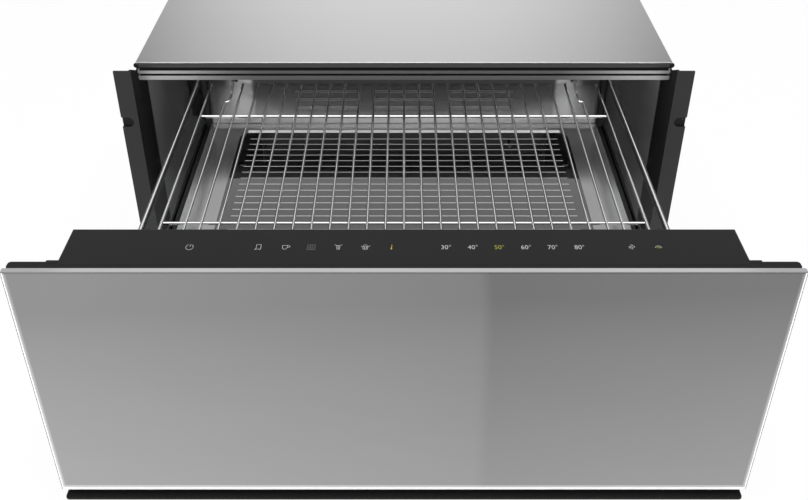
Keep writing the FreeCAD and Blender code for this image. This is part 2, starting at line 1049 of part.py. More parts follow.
# ---- warm air ----
def rear_duct():
    half = duct_width / 2
    duct = shell(
        (-half, half),
        (basin_rear, duct_rear),
        (duct_bottom, wall_top - duct_drop),
        basin_sheet,
        ("-y",),
    )
    flange = box(
        (half - basin_sheet, half + duct_flange),
        (basin_rear, basin_rear + basin_sheet),
        (duct_bottom, tub_top),
    )
    duct = duct.fuse([flange, mirrored(flange)]).removeSplitter()
    duct = drilled(duct, duct_seats + mirror_seats(duct_seats), (0, 1, 0))
    sensor_hole = rod(
        (sensor_x, duct_rear - 2 * basin_sheet, wall_top - sensor_drop),
        (sensor_x, duct_rear + basin_sheet, wall_top - sensor_drop),
        sensor_radius,
    )
    return duct.cut(sensor_hole)


def temperature_sensor():
    z = wall_top - sensor_drop
    probe = rod((sensor_x, duct_rear - sensor_length, z), (sensor_x, duct_rear, z), sensor_radius)
    flange = rod(
        (sensor_x, duct_rear, z), (sensor_x, duct_rear + sensor_flange, z), 3 * sensor_radius
    )
    return probe.fuse(flange).removeSplitter()


def fan_housing():
    sheet = basin_sheet
    drum = rod((0, fan_y, tub_floor_top), (0, fan_y, fan_drum_top), fan_drum_radius)
    channel = wide_box(
        outlet_width / 2 + sheet,
        (fan_y, wall_face),
        (outlet_bottom - sheet, outlet_bottom + outlet_height + sheet),
    )
    hollow = rod(
        (0, fan_y, tub_floor_top), (0, fan_y, fan_drum_top - sheet), fan_drum_radius - sheet
    )
    way = wide_box(
        outlet_width / 2, (fan_y, wall_face), (outlet_bottom, outlet_bottom + outlet_height)
    )
    intake = rod(
        (0, fan_y, fan_drum_top - 2 * sheet), (0, fan_y, fan_drum_top + sheet), fan_intake_radius
    )
    leg_holes = [
        rod(
            (side * heater_legs, heater_leg_y, heater_z),
            (side * heater_legs, heater_leg_y, fan_drum_top + sheet),
            heater_radius,
        )
        for side in (-1, 1)
    ]
    return drum.fuse(channel).cut([hollow, way, intake] + leg_holes).removeSplitter()


def fan_motor():
    motor = rod((0, fan_y, tub_floor_top), (0, fan_y, motor_top), motor_radius)
    boss = rod((0, fan_y, motor_top), (0, fan_y, motor_top + motor_boss), hub_radius)
    bore = rod(
        (0, fan_y, motor_top - motor_bore_depth),
        (0, fan_y, motor_top + motor_boss),
        shaft_radius + shaft_fit,
    )
    return motor.fuse(boss).cut(bore).removeSplitter()


def fan_shaft():
    low = motor_top - motor_bore_depth + rest_gap
    return rod((0, fan_y, low), (0, fan_y, impeller_low + impeller_height), shaft_radius)


def impeller():
    """Hub, back plate and leaning blades."""
    low = impeller_low
    high = low + impeller_height
    hub = rod((0, fan_y, low), (0, fan_y, low + hub_height), hub_radius)
    plate = rod((0, fan_y, low), (0, fan_y, low + impeller_sheet), impeller_radius)
    blades = []
    for index in range(blade_count):
        blade = box((blade_root, impeller_radius), (-blade_sheet / 2, blade_sheet / 2), (low, high))
        blade.rotate(Vector(blade_root, 0, 0), Vector(0, 0, 1), blade_lean)
        blade.rotate(Vector(0, 0, 0), Vector(0, 0, 1), 360.0 * index / blade_count)
        blade.translate(Vector(0, fan_y, 0))
        blades.append(blade)
    body = plate.fuse([hub] + blades)
    bore = rod((0, fan_y, low - impeller_sheet), (0, fan_y, high), shaft_radius)
    return body.cut(bore).removeSplitter()


def heating_element():
    """Open ring around the impeller, with two legs up through the drum's top."""
    ring = Part.makeTorus(
        heater_ring_radius, heater_radius, Vector(0, fan_y, heater_z), Vector(0, 0, 1)
    )
    reach = 1 + 2 * heater_radius / heater_ring_radius
    low = heater_z - 2 * heater_radius
    wedge = prism(
        [
            (0, fan_y, low),
            (-heater_legs * reach, fan_y + (heater_leg_y - fan_y) * reach, low),
            (heater_legs * reach, fan_y + (heater_leg_y - fan_y) * reach, low),
        ],
        (0, 0, 4 * heater_radius),
    )
    ring = ring.cut(wedge)
    pieces = []
    for side in (-1, 1):
        foot = (side * heater_legs, heater_leg_y, heater_z)
        tip = (side * heater_legs, heater_leg_y, fan_drum_top + heater_stub)
        pieces.append(rod(foot, tip, heater_radius))
        pieces.append(ball(foot, heater_radius))
    return ring.fuse(pieces).removeSplitter()


# ---- rack ----
def straight_wire(x):
    return rod((x, wire_front, wire_z), (x, wire_rear, wire_z), wire_radius)


def jogged_wire(side):
    inner_x = side * (jog_wire_x - jog_inward)
    points = [
        (side * jog_wire_x, wire_front, wire_z),
        (side * jog_wire_x, wall_face - jog_setback, wire_z),
        (inner_x, wall_face - jog_setback, wire_z),
        (inner_x, wall_face - rise_setback, wire_z),
        (inner_x, wire_rear, wire_z + rise),
    ]
    return bent_rod(points, wire_radius, jog_bend)


def rack():
    """Separate welded wires: the long ones lie on two thicker cross wires."""
    half_count = (wire_count - 1) // 2
    wires = [straight_wire(wire_pitch * index) for index in range(-half_count, half_count + 1)]
    for side in (-1, 1):
        wires.append(straight_wire(side * outer_wire_x))
        wires.append(jogged_wire(side))
    cross_z = wire_z - wire_radius - cross_wire_radius
    for setback in cross_wire_setbacks:
        y = wall_face - setback
        wires.append(
            rod((-cross_wire_reach, y, cross_z), (cross_wire_reach, y, cross_z), cross_wire_radius)
        )
    return group(wires)


def rack_rests():
    """Front rest under all the long wires, and two rear rests under the raised ends."""
    top = wire_z - wire_radius
    front_face = basin_front + basin_sheet
    front = wide_box(
        cross_wire_reach, (front_face, front_face + front_rest_depth), (top - front_rest_height, top)
    )
    rear_front = wall_face - rear_rest_depth
    rise_run = rise_setback - wire_end_gap
    slope = rise / rise_run
    centre_z = wire_z + slope * (rise_setback - rear_rest_depth)
    rear_top = centre_z - wire_radius * math.hypot(1, slope)
    rear_x = jog_wire_x - jog_inward
    rear = box(
        (rear_x - rear_rest_width / 2, rear_x + rear_rest_width / 2),
        (rear_front, wall_face),
        (rear_top - rear_rest_height, rear_top),
    )
    return group([front, rear, mirrored(rear)])


# ---- screws ----
def cabinet_screws():
    screws = []
    for x, y, z in bracket_seats:
        screws.append(screw((x, y, z), (-1, 0, 0), panel_sheet + bracket_sheet))
        screws.append(screw((-x, y, z), (1, 0, 0), panel_sheet + bracket_sheet))
    for x, y, z in cabinet_runner_seats:
        screws.append(screw((x, y, z), (1, 0, 0)))
        screws.append(screw((-x, y, z), (-1, 0, 0)))
    return group(screws)


def drawer_screws():
    screws = []
    for x, y, z in drawer_runner_seats:
        screws.append(screw((x, y, z), (-1, 0, 0)))
        screws.append(screw((-x, y, z), (1, 0, 0)))
    rear_seats = duct_seats + tub_flange_seats
    for seat in rear_seats + mirror_seats(rear_seats):
        screws.append(screw(seat, (0, -1, 0)))
    return group(screws)


pieces = {
    "base_plate": base_plate(),
    "back_panel": back_panel(),
    "top_cover": top_cover(),
    "top_trim": top_trim(),
    "top_seal": top_seal(),
    "ceiling_liner": ceiling_liner(),
    "ceiling_insulation": ceiling_insulation(),
    "mains_inlet": mains_inlet(),
    "power_module": power_module(),
    "latch_body": latch_body(),
    "latch_plunger": latch_plunger(),
    "latch_spring": latch_spring(),
    "front_glass": front_glass(),
    "front_backing": front_backing(),
    "front_frame": front_frame(),
    "bottom_ledge": bottom_ledge(),
    "front_insulation": front_insulation(),
    "control_box": control_box(),
    "control_glass": control_glass(),
    "control_board": control_board(),
    "drawer_tub": drawer_tub(),
    "floor_pan": floor_pan(),
    "floor_glass": floor_glass(),
    "heater_mat": heater_mat(),
    "heater_tray": heater_tray(),
    "inner_front_wall": inner_front_wall(),
    "rear_wall": rear_wall(),
    "rear_duct": rear_duct(),
    "temperature_sensor": temperature_sensor(),
    "fan_housing": fan_housing(),
    "fan_motor": fan_motor(),
    "fan_shaft": fan_shaft(),
    "impeller": impeller(),
    "heating_element": heating_element(),
    "rack": rack(),
    "rack_rests": rack_rests(),
    "cabinet_screws": cabinet_screws(),
    "drawer_screws": drawer_screws(),
}
handed = {
    "side_panel": right_side_panel(),
    "mounting_bracket": right_mounting_bracket(),
    "inner_liner": right_inner_liner(),
    "runner_bracket": right_runner_bracket(),
    "runner_outer": right_runner_outer(),
    "runner_middle": right_runner_middle(),
    "ball_cages": right_ball_cages(),
    "runner_inner": right_runner_inner(),
    "side_channel": right_side_channel(),
    "side_glass": right_side_glass(),
    "top_rail": right_top_rail(),
}
for name, shape in handed.items():
    pieces["right_" + name] = shape
    pieces["left_" + name] = mirrored(shape)

os.makedirs("parts", exist_ok=True)
for name, shape in pieces.items():
    shape.exportStep("parts/" + name + ".step")
    print(name, len(shape.Solids), shape.isValid(), round(shape.Volume))
print("nodes:", len(pieces))
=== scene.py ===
import bmesh
import bpy
import json
import math
import numpy as np
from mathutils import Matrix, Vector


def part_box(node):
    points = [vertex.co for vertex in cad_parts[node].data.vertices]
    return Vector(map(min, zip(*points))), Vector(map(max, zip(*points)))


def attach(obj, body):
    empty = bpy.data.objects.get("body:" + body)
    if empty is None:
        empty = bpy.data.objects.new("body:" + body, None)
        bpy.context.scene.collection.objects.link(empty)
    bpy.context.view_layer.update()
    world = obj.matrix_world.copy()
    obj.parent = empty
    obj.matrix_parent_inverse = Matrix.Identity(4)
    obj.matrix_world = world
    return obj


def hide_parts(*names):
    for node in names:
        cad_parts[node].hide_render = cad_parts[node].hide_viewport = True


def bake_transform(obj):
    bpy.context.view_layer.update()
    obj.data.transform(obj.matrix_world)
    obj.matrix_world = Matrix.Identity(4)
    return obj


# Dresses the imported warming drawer. Metres, +X right, +Y back, +Z up, drawer pulled out at rest.

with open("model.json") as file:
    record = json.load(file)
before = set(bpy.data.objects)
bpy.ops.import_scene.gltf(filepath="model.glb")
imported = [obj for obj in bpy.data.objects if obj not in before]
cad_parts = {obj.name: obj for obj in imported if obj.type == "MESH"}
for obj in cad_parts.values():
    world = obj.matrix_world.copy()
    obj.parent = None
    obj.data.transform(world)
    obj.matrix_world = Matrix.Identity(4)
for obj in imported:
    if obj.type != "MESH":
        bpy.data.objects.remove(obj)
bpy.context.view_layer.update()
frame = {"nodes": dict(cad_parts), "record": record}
scene = bpy.context.scene
nodes = frame["nodes"]
record = frame["record"]
slotOf = {part["node"]: part["material_slot"] for part in record["subparts"]}
bodyOf = {name: body for body, members in record["behaviour"]["bodies"].items() for name in members}
mm = 0.001
print("frame loaded:", len(nodes), "nodes")


# Links a socket to an input, or sets a plain value on it.
def feed(tree, socket, value):
    if isinstance(value, bpy.types.NodeSocket):
        tree.links.new(value, socket)
    else:
        socket.default_value = value


# The name of a socket from a keyword: baseColor stands for Base Color.
def socketName(keyword):
    words = "".join(" " + letter if letter.isupper() else letter for letter in keyword)
    return words.title().replace("Ior", "IOR")


def feedAll(tree, node, **values):
    for keyword, value in values.items():
        feed(tree, node.inputs[socketName(keyword)], value)


def doMath(tree, operation, first, second=None):
    node = tree.nodes.new("ShaderNodeMath")
    node.operation = operation
    feed(tree, node.inputs[0], first)
    if second is not None:
        feed(tree, node.inputs[1], second)
    return node.outputs["Value"]


def product(tree, first, *others):
    for other in others:
        first = doMath(tree, "MULTIPLY", first, other)
    return first


def absolute(tree, value):
    return doMath(tree, "ABSOLUTE", value)


def mapRange(tree, value, source, target, curve="LINEAR"):
    node = tree.nodes.new("ShaderNodeMapRange")
    node.interpolation_type = curve
    feedAll(
        tree, node, value=value, fromMin=source[0], fromMax=source[1], toMin=target[0], toMax=target[1]
    )
    return node.outputs["Result"]


def mixValue(tree, factor, low, high):
    node = tree.nodes.new("ShaderNodeMix")
    feedAll(tree, node, factor=factor, a=low, b=high)
    return node.outputs["Result"]


def colour(value):
    if isinstance(value, bpy.types.NodeSocket):
        return value
    return (value, value, value, 1.0) if isinstance(value, float) else (*value, 1.0)


# Mixes two colours; inputs 6 and 7 and output 2 of the Mix node are its colour sockets.
def shade(tree, factor, low, high):
    mix = tree.nodes.new("ShaderNodeMix")
    mix.data_type = "RGBA"
    feed(tree, mix.inputs["Factor"], factor)
    feed(tree, mix.inputs[6], colour(low))
    feed(tree, mix.inputs[7], colour(high))
    return mix.outputs[2]


def splitXyz(tree, vector):
    split = tree.nodes.new("ShaderNodeSeparateXYZ")
    tree.links.new(vector, split.inputs["Vector"])
    return split.outputs["X"], split.outputs["Y"], split.outputs["Z"]


# A white background or emission of the given strength.
def glow(tree, kind, strength):
    node = tree.nodes.new(kind)
    feed(tree, node.inputs["Strength"], strength)
    return node.outputs[0]


def mixShader(tree, share, first, second):
    node = tree.nodes.new("ShaderNodeMixShader")
    for socket, value in zip(node.inputs, (share, first, second)):
        tree.links.new(value, socket)
    return node.outputs["Shader"]


cameraSetup = {"place": (0.0, -1.421, 0.858), "pitchDown": 35.14, "lens": 44.28, "sensor": 36.0}

stageSetup = {
    "floorHalf": 6.0,
    "floorTone": 0.90,
    "floorGlow": 0.93,  # how much of the floor's look to the camera is plain white
    "near": -0.690,  # where the patch that the drawer's front mirrors starts
    "far": -1.100,  # and where it ends
    "nearTone": 0.96,
    "farTone": 0.675,
    "lap": 0.012,  # how far the patch reaches back beyond its near edge
    "spread": 1.301,  # how much wider the patch is at its far end
    "leftEnd": -0.43,
    "seam": 0.0855,
    "seamWidth": 0.020,
    "rightEnd": 0.42,
    "seamLeftTones": (0.816, 0.767),  # share of the left end's tone, at the near and the far edge
    "seamRightTones": (0.746, 0.610),
    "rightEndTones": (0.826, 0.680),
}

worldSetup = {
    "white": 1.0,  # what the camera sees
    "fill": 0.80,  # what soft light adds up to
    "zenith": 1.10,  # what metal and glass mirror overhead
    "behind": (-0.05, 0.05),  # where the sky in front turns into the one behind
    "rise": (0.460, 0.470),  # height on the unit sphere where the overhead light starts, behind
    "low": 0.04,  # below it
    "frontLow": 0.75,  # low down in front
    "frontGap": (0.33, 0.39),  # dark from here
    "gapTone": 0.05,
    "frontRise": (0.498, 0.508),  # up to here
}

lampSetup = {
    "overhead": {"place": (0.0, -0.5, 2.3), "aim": (0.0, -0.1, 0.1), "size": (1.8, 1.2), "power": 26.0},
    "lowLeft": {"place": (-1.7, -2.9, 0.75), "aim": (0.2, -0.1, 0.2), "size": (1.0, 0.4), "power": 30.0},
    "lowRight": {"place": (1.7, -2.9, 0.75), "aim": (-0.2, -0.1, 0.2), "size": (1.0, 0.4), "power": 30.0},
}


def makeCamera():
    data = bpy.data.cameras.new("camera")
    data.lens = cameraSetup["lens"]
    data.sensor_width = cameraSetup["sensor"]
    camera = bpy.data.objects.new("camera", data)
    camera.location = cameraSetup["place"]
    camera.rotation_euler = (math.radians(90.0 - cameraSetup["pitchDown"]), 0.0, 0.0)
    scene.collection.objects.link(camera)
    scene.camera = camera


# Sky in front for mirrors: even and bright, with one dark gap below the overhead light.
def frontSky(tree, wayZ):
    gap = mapRange(tree, wayZ, worldSetup["frontGap"], (0.0, 1.0), "SMOOTHSTEP")
    low = mixValue(tree, gap, worldSetup["frontLow"], worldSetup["gapTone"])
    rise = mapRange(tree, wayZ, worldSetup["frontRise"], (0.0, 1.0), "SMOOTHSTEP")
    return mixValue(tree, rise, low, worldSetup["zenith"])


# World: white to the camera, an even fill for soft light, and for mirrors a bright overhead light above a
# dim low sky behind and the front's own sky.
def makeWorld():
    scene.world = bpy.data.worlds.new("studio")
    scene.world.use_nodes = True
    tree = scene.world.node_tree
    tree.nodes.clear()
    ray = tree.nodes.new("ShaderNodeLightPath").outputs
    sky = tree.nodes.new("ShaderNodeTexCoord").outputs
    _, wayY, wayZ = splitXyz(tree, sky["Generated"])
    behind = mapRange(tree, wayY, worldSetup["behind"], (0.0, 1.0))
    rise = mapRange(tree, wayZ, worldSetup["rise"], (worldSetup["low"], worldSetup["zenith"]), "SMOOTHSTEP")
    tone = mixValue(tree, behind, frontSky(tree, wayZ), rise)
    strengths = (worldSetup["white"], tone, worldSetup["fill"])
    seen, mirrored, fill = (glow(tree, "ShaderNodeBackground", strength) for strength in strengths)
    soft = mixShader(tree, ray["Is Glossy Ray"], fill, mirrored)
    direct = doMath(tree, "MAXIMUM", ray["Is Camera Ray"], ray["Is Transmission Ray"])
    out = tree.nodes.new("ShaderNodeOutputWorld")
    tree.links.new(mixShader(tree, direct, soft, seen), out.inputs["Surface"])


def makeLamps():
    for name, lamp in lampSetup.items():
        data = bpy.data.lights.new(name, "AREA")
        data.shape = "RECTANGLE"
        data.size, data.size_y = lamp["size"]
        data.energy = lamp["power"]
        light = bpy.data.objects.new(name, data)
        way = np.array(lamp["aim"]) - lamp["place"]
        light.location = lamp["place"]
        light.rotation_euler = (
            math.atan2(math.hypot(way[0], way[1]), -way[2]),
            0.0,
            math.atan2(-way[0], way[1]),
        )
        scene.collection.objects.link(light)


# Floor tone for mirrors: the patch in front of the drawer fades with distance, falls from left to right
# up to a soft seam, and starts again a little darker on the seam's right. The rest of the floor is white.
def floorPatch(tree, place):
    look = stageSetup
    across, along, _ = splitXyz(tree, place)
    far = mapRange(tree, along, (look["near"], look["far"]), (0.0, 1.0))
    tone, spread, seamLeft, seamRight, rightEnd = (mapRange(tree, far, (0.0, 1.0), ends) for ends in (
        (look["nearTone"], look["farTone"]), (1.0, look["spread"]),
        look["seamLeftTones"], look["seamRightTones"], look["rightEndTones"],
    ))
    across = doMath(tree, "DIVIDE", across, spread)
    seam = (look["seam"] - look["seamWidth"] / 2, look["seam"] + look["seamWidth"] / 2)
    left = mapRange(tree, across, (look["leftEnd"], seam[0]), (1.0, seamLeft))
    right = mapRange(tree, across, (seam[1], look["rightEnd"]), (seamRight, rightEnd))
    side = mapRange(tree, across, seam, (0.0, 1.0), "SMOOTHSTEP")
    patch = product(tree, tone, mixValue(tree, side, left, right))
    inFront = doMath(tree, "LESS_THAN", along, look["near"] + look["lap"])
    return mixValue(tree, inFront, 1.0, patch)


def makeFloor():
    half = stageSetup["floorHalf"]
    mesh = bpy.data.meshes.new("floor")
    corners = [(-half, -half, 0.0), (half, -half, 0.0), (half, half, 0.0), (-half, half, 0.0)]
    mesh.from_pydata(corners, [], [(0, 1, 2, 3)])
    floor = bpy.data.objects.new("floor", mesh)
    scene.collection.objects.link(floor)

    material = bpy.data.materials.new("paleFloor")
    material.use_nodes = True
    mesh.materials.append(material)
    tree = material.node_tree
    tree.nodes.clear()
    ray = tree.nodes.new("ShaderNodeLightPath").outputs
    place = tree.nodes.new("ShaderNodeTexCoord").outputs
    strengths = (1.0, floorPatch(tree, place["Object"]))
    white, mirrored = (glow(tree, "ShaderNodeEmission", strength) for strength in strengths)
    plain = tree.nodes.new("ShaderNodeBsdfDiffuse")
    plain.inputs["Color"].default_value = colour(stageSetup["floorTone"])
    seenShare = product(tree, ray["Is Camera Ray"], stageSetup["floorGlow"])
    share = doMath(tree, "MAXIMUM", seenShare, ray["Is Transmission Ray"])
    seen = mixShader(tree, share, plain.outputs["BSDF"], white)
    out = tree.nodes.new("ShaderNodeOutputMaterial")
    tree.links.new(mixShader(tree, ray["Is Glossy Ray"], seen, mirrored), out.inputs["Surface"])


makeCamera()
makeWorld()
makeLamps()
makeFloor()
print("stage ready")


groups = {}
finishes = {}
grainSpan = (0.3, 0.7)  # where most of a noise's values lie
origin = (0.0, 0.0, 0.0)


# Starts a group with named inputs: a tuple makes a vector input and a number a plain one.
def newGroup(name, **inputs):
    group = bpy.data.node_groups.new(name, "ShaderNodeTree")
    groups[name] = group
    for keyword, start in inputs.items():
        kind = "NodeSocketVector" if isinstance(start, tuple) else "NodeSocketFloat"
        socket = group.interface.new_socket(socketName(keyword), in_out="INPUT", socket_type=kind)
        socket.default_value = start
    return group, group.nodes.new("NodeGroupInput").outputs


# Puts the named values out of a group.
def putOut(group, **results):
    for keyword in results:
        group.interface.new_socket(socketName(keyword), in_out="OUTPUT", socket_type="NodeSocketFloat")
    feedAll(group, group.nodes.new("NodeGroupOutput"), **results)


def addNoise(tree, vector, scale, detail=3.0, roughness=0.5, distortion=0.0):
    noise = tree.nodes.new("ShaderNodeTexNoise")
    feedAll(tree, noise, vector=vector, scale=scale, detail=detail)
    feedAll(tree, noise, roughness=roughness, distortion=distortion)
    return noise.outputs["Fac"]


def addCells(tree, vector, scale):
    cells = tree.nodes.new("ShaderNodeTexVoronoi")
    feedAll(tree, cells, vector=vector, scale=scale)
    return cells.outputs


def vectorMath(tree, operation, first, second):
    node = tree.nodes.new("ShaderNodeVectorMath")
    node.operation = operation
    feed(tree, node.inputs[0], first)
    feed(tree, node.inputs[1], second)
    return node.outputs


# Brushed lines: noise on a vector stretched along the grain, and a slow noise for cloudy patches.
def makeBrushedGroup():
    group, entry = newGroup("brushed", vector=origin, density=(6.0, 900.0, 900.0), cloudScale=5.0)
    along = vectorMath(group, "MULTIPLY", entry["Vector"], entry["Density"])["Vector"]
    grain = addNoise(group, along, 1.0, roughness=0.62)
    putOut(group, grain=grain, cloud=addNoise(group, entry["Vector"], entry["Cloud Scale"]))


# Powder or moulded skin: small rounded cells from noise, with a slow drift of tone over them.
def makeSpeckleGroup():
    group, entry = newGroup("speckle", vector=origin, scale=900.0, cloudScale=9.0)
    grain = addNoise(group, entry["Vector"], entry["Scale"], detail=2.0)
    putOut(group, grain=grain, cloud=addNoise(group, entry["Vector"], entry["Cloud Scale"], detail=4.0))


# Zinc spangle: flat crystals of slightly different tones from Voronoi cells, and a noise for dull patches.
def makeSpangleGroup():
    group, entry = newGroup("spangle", vector=origin, scale=140.0, cloudScale=7.0)
    tone, _, _ = splitXyz(group, addCells(group, entry["Vector"], entry["Scale"])["Color"])
    putOut(group, grain=tone, cloud=addNoise(group, entry["Vector"], entry["Cloud Scale"], detail=4.0))


# Wipe marks on glass: a slow noise, stretched one way and bent a little.
def makeSmearGroup():
    group, entry = newGroup("smear", vector=origin, wipe=(5.0, 5.0, 14.0))
    wiped = vectorMath(group, "MULTIPLY", entry["Vector"], entry["Wipe"])["Vector"]
    putOut(group, smear=addNoise(group, wiped, 1.0, detail=4.0, distortion=0.6))


edgeLook = {"samples": 4, "turn": (0.98, 0.80)}  # cosines of the turn at which the mask is 0 and 1


# Edges lightened partly by wear and partly as a painted highlight: how far a rounded normal turns from the
# face's own.
def makeEdgeGroup():
    group, entry = newGroup("edgeWear", reach=0.8 * mm)
    rounded = group.nodes.new("ShaderNodeBevel")
    rounded.samples = edgeLook["samples"]
    group.links.new(entry["Reach"], rounded.inputs["Radius"])
    face = group.nodes.new("ShaderNodeNewGeometry")
    turn = vectorMath(group, "DOT_PRODUCT", rounded.outputs["Normal"], face.outputs["True Normal"])["Value"]
    putOut(group, edge=mapRange(group, turn, edgeLook["turn"], (0.0, 1.0)))


stripeSoftness = (0.8, 1.2)  # a stripe fades between these shares of its half width


# Bands along one coordinate: 1 inside a band of the given width that repeats at the pitch, else 0.
def makeStripeGroup():
    group, entry = newGroup("stripes", place=0.0, start=0.0, pitch=0.01, width=0.001, count=10.0)
    offset = doMath(group, "SUBTRACT", entry["Start"], entry["Place"])
    index = doMath(group, "ROUND", doMath(group, "DIVIDE", offset, entry["Pitch"]))
    away = absolute(group, doMath(group, "SUBTRACT", offset, product(group, index, entry["Pitch"])))
    half = doMath(group, "DIVIDE", entry["Width"], 2.0)
    line = mapRange(group, away, [product(group, half, share) for share in stripeSoftness], (1.0, 0.0))
    low = doMath(group, "GREATER_THAN", index, -0.5)
    high = doMath(group, "LESS_THAN", index, doMath(group, "SUBTRACT", entry["Count"], 0.5))
    putOut(group, stripe=product(group, line, product(group, low, high)))


for makeGroup in (
    makeBrushedGroup, makeSpeckleGroup, makeSpangleGroup, makeSmearGroup, makeEdgeGroup, makeStripeGroup
):
    makeGroup()
print("shader groups ready")


def startMaterial(name):
    material = bpy.data.materials.new(name)
    material.use_nodes = True
    finishes[name] = material
    tree = material.node_tree
    return tree, tree.nodes["Principled BSDF"], tree.nodes.new("ShaderNodeTexCoord").outputs["Object"]


def placeGroup(tree, name, **values):
    node = tree.nodes.new("ShaderNodeGroup")
    node.node_tree = groups[name]
    feedAll(tree, node, **values)
    return node.outputs


# Roughness that follows a grain.
def roughBy(tree, grain, rough):
    return mapRange(tree, grain, grainSpan, rough)


def addBump(tree, shader, height, distance):
    bump = tree.nodes.new("ShaderNodeBump")
    bump.inputs["Distance"].default_value = distance
    tree.links.new(height, bump.inputs["Height"])
    tree.links.new(bump.outputs["Normal"], shader.inputs["Normal"])


# name: tones, roughness, grain density, cloud scale, depth of the bump in millimetres
metals = {
    "runnerSteel": ((0.50, 0.60), (0.22, 0.32), (700.0, 5.0, 700.0), 12.0, 0.002),
    "ballSteel": ((0.62, 0.70), (0.08, 0.14), (80.0, 80.0, 80.0), 30.0, 0.001),
    "backingSteel": ((0.44, 0.52), (0.30, 0.40), (6.0, 500.0, 500.0), 10.0, 0.002),
    "railChrome": ((0.86, 0.92), (0.04, 0.07), (500.0, 4.0, 500.0), 20.0, 0.00005),
    "rackChrome": ((0.90, 0.95), (0.03, 0.05), (90.0, 90.0, 90.0), 40.0, 0.00005),
    "crossChrome": ((0.66, 0.70), (0.03, 0.05), (90.0, 90.0, 90.0), 40.0, 0.00005),
    "heaterTube": ((0.16, 0.24), (0.40, 0.55), (120.0, 120.0, 120.0), 25.0, 0.006),
    "motorCase": ((0.36, 0.46), (0.34, 0.46), (60.0, 60.0, 8.0), 30.0, 0.004),
    "impellerMetal": ((0.46, 0.56), (0.28, 0.38), (200.0, 200.0, 20.0), 20.0, 0.003),
    "plainSteel": ((0.50, 0.58), (0.20, 0.30), (300.0, 300.0, 300.0), 40.0, 0.002),
}


# Brushed or rolled metal: grain lines move the roughness and a shallow bump, clouds move the tone.
def metalFinish(name, tones, rough, density, cloudScale, depth):
    tree, shader, place = startMaterial(name)
    lines = placeGroup(tree, "brushed", vector=place, density=density, cloudScale=cloudScale)
    feedAll(
        tree, shader, baseColor=shade(tree, lines["Cloud"], *tones),
        roughness=roughBy(tree, lines["Grain"], rough), metallic=1.0,
    )
    addBump(tree, shader, lines["Grain"], depth * mm)


# name: axis, span along it in millimetres, tones, roughness, grain density, metallic, both ways or one
gradedMetals = {
    # The trim bars are darker in the middle and lighter towards both ends: a painted reflection.
    "trimSteel": (0, (190, 325), (0.12, 0.36), (0.34, 0.42), (5.0, 900.0, 900.0), 0.3, True),
    # The rolled edge's tone falls a little towards both ends: a painted falloff of its highlight.
    "hemSteel": (0, (250, 350), (0.48, 0.45), (0.26, 0.30), (5.0, 900.0, 900.0), 0.8, True),
    # Side liners lighter towards the back: painted light.
    "linerDark": (1, (-171, 60), (0.36, 1.00), (0.36, 0.50), (60.0, 60.0, 400.0), 0.0, False),
    "polishedGlass": (0, (300, 348), (0.39, 0.31), (0.12, 0.20), (40.0, 500.0, 500.0), 0.0, True),
    # The steel floor lightens towards the rear wall: a painted reflection of the wall's foot.
    "floorSteel": (1, (-285, -205), (0.39, 0.66), (0.17, 0.22), (500.0, 5.0, 500.0), 0.90, False),
    # The wall's foot is light in the middle and darker towards both ends: a painted highlight.
    "footSteel": (0, (0, 250), (0.77, 0.27), (0.20, 0.28), (5.0, 300.0, 300.0), 0.3, True),
}
gradedCloud = {"scale": 6.0, "drift": (0.95, 1.05)}


# Metal whose tone runs from one value to another along an axis, or from the middle to both ends, with
# brushed grain in the roughness.
def gradedMetal(name, axis, span, tones, rough, density, metallic, bothWays):
    tree, shader, place = startMaterial(name)
    lines = placeGroup(tree, "brushed", vector=place, density=density, cloudScale=gradedCloud["scale"])
    along = splitXyz(tree, place)[axis]
    if bothWays:
        along = absolute(tree, along)
    tone = mapRange(tree, along, [end * mm for end in span], tones, "SMOOTHSTEP")
    drift = mapRange(tree, lines["Cloud"], grainSpan, gradedCloud["drift"])
    feedAll(
        tree, shader, baseColor=product(tree, tone, drift),
        roughness=roughBy(tree, lines["Grain"], rough), metallic=metallic,
    )


# name: tones, roughness, cell scale, depth of the bump in millimetres, edge lightening by wear and painted
# highlight, specular level
coats = {
    # grooveBlack is black painted shade on the trim's groove, shelf and upward faces.
    "grooveBlack": ((0.002, 0.003), (0.60, 0.70), 900.0, 0.002, 0.0, 0.05),
    "bracketBlack": ((0.011, 0.015), (0.38, 0.50), 1400.0, 0.003, 0.04, 0.4),
    "ceilingDark": ((0.50, 0.56), (0.50, 0.62), 700.0, 0.006, 0.0, 0.2),
    "wool": ((0.42, 0.60), (0.85, 0.98), 350.0, 0.60, 0.0, 0.5),
    "blackPlastic": ((0.018, 0.026), (0.34, 0.44), 1300.0, 0.012, 0.04, 0.5),
    "edgeWhite": ((0.82, 0.86), (0.16, 0.24), 500.0, 0.001, 0.0, 0.5),
    "edgeGrey": ((0.11, 0.15), (0.40, 0.50), 500.0, 0.001, 0.0, 0.0),
    "edgeShade": ((0.17, 0.20), (0.24, 0.32), 500.0, 0.001, 0.0, 0.2),
    "frameBlack": ((0.010, 0.014), (0.34, 0.44), 1600.0, 0.003, 0.02, 0.12),
    # stripPale is a painted highlight on the bright strip behind the floor glass.
    "stripPale": ((0.70, 0.78), (0.30, 0.40), 700.0, 0.002, 0.0, 0.5),
    "railShade": ((0.008, 0.012), (0.30, 0.40), 900.0, 0.002, 0.0, 0.3),
    "channelBlack": ((0.004, 0.006), (0.36, 0.46), 1300.0, 0.004, 0.0, 0.2),
    "heaterMat": ((0.25, 0.32), (0.60, 0.75), 600.0, 0.05, 0.0, 0.5),
    "boardGreen": (((0.02, 0.12, 0.05), (0.03, 0.16, 0.07)), (0.30, 0.42), 500.0, 0.02, 0.0, 0.5),
}
wornAndSheenTone = 0.35  # of an edge lightened by wear and by painted highlight
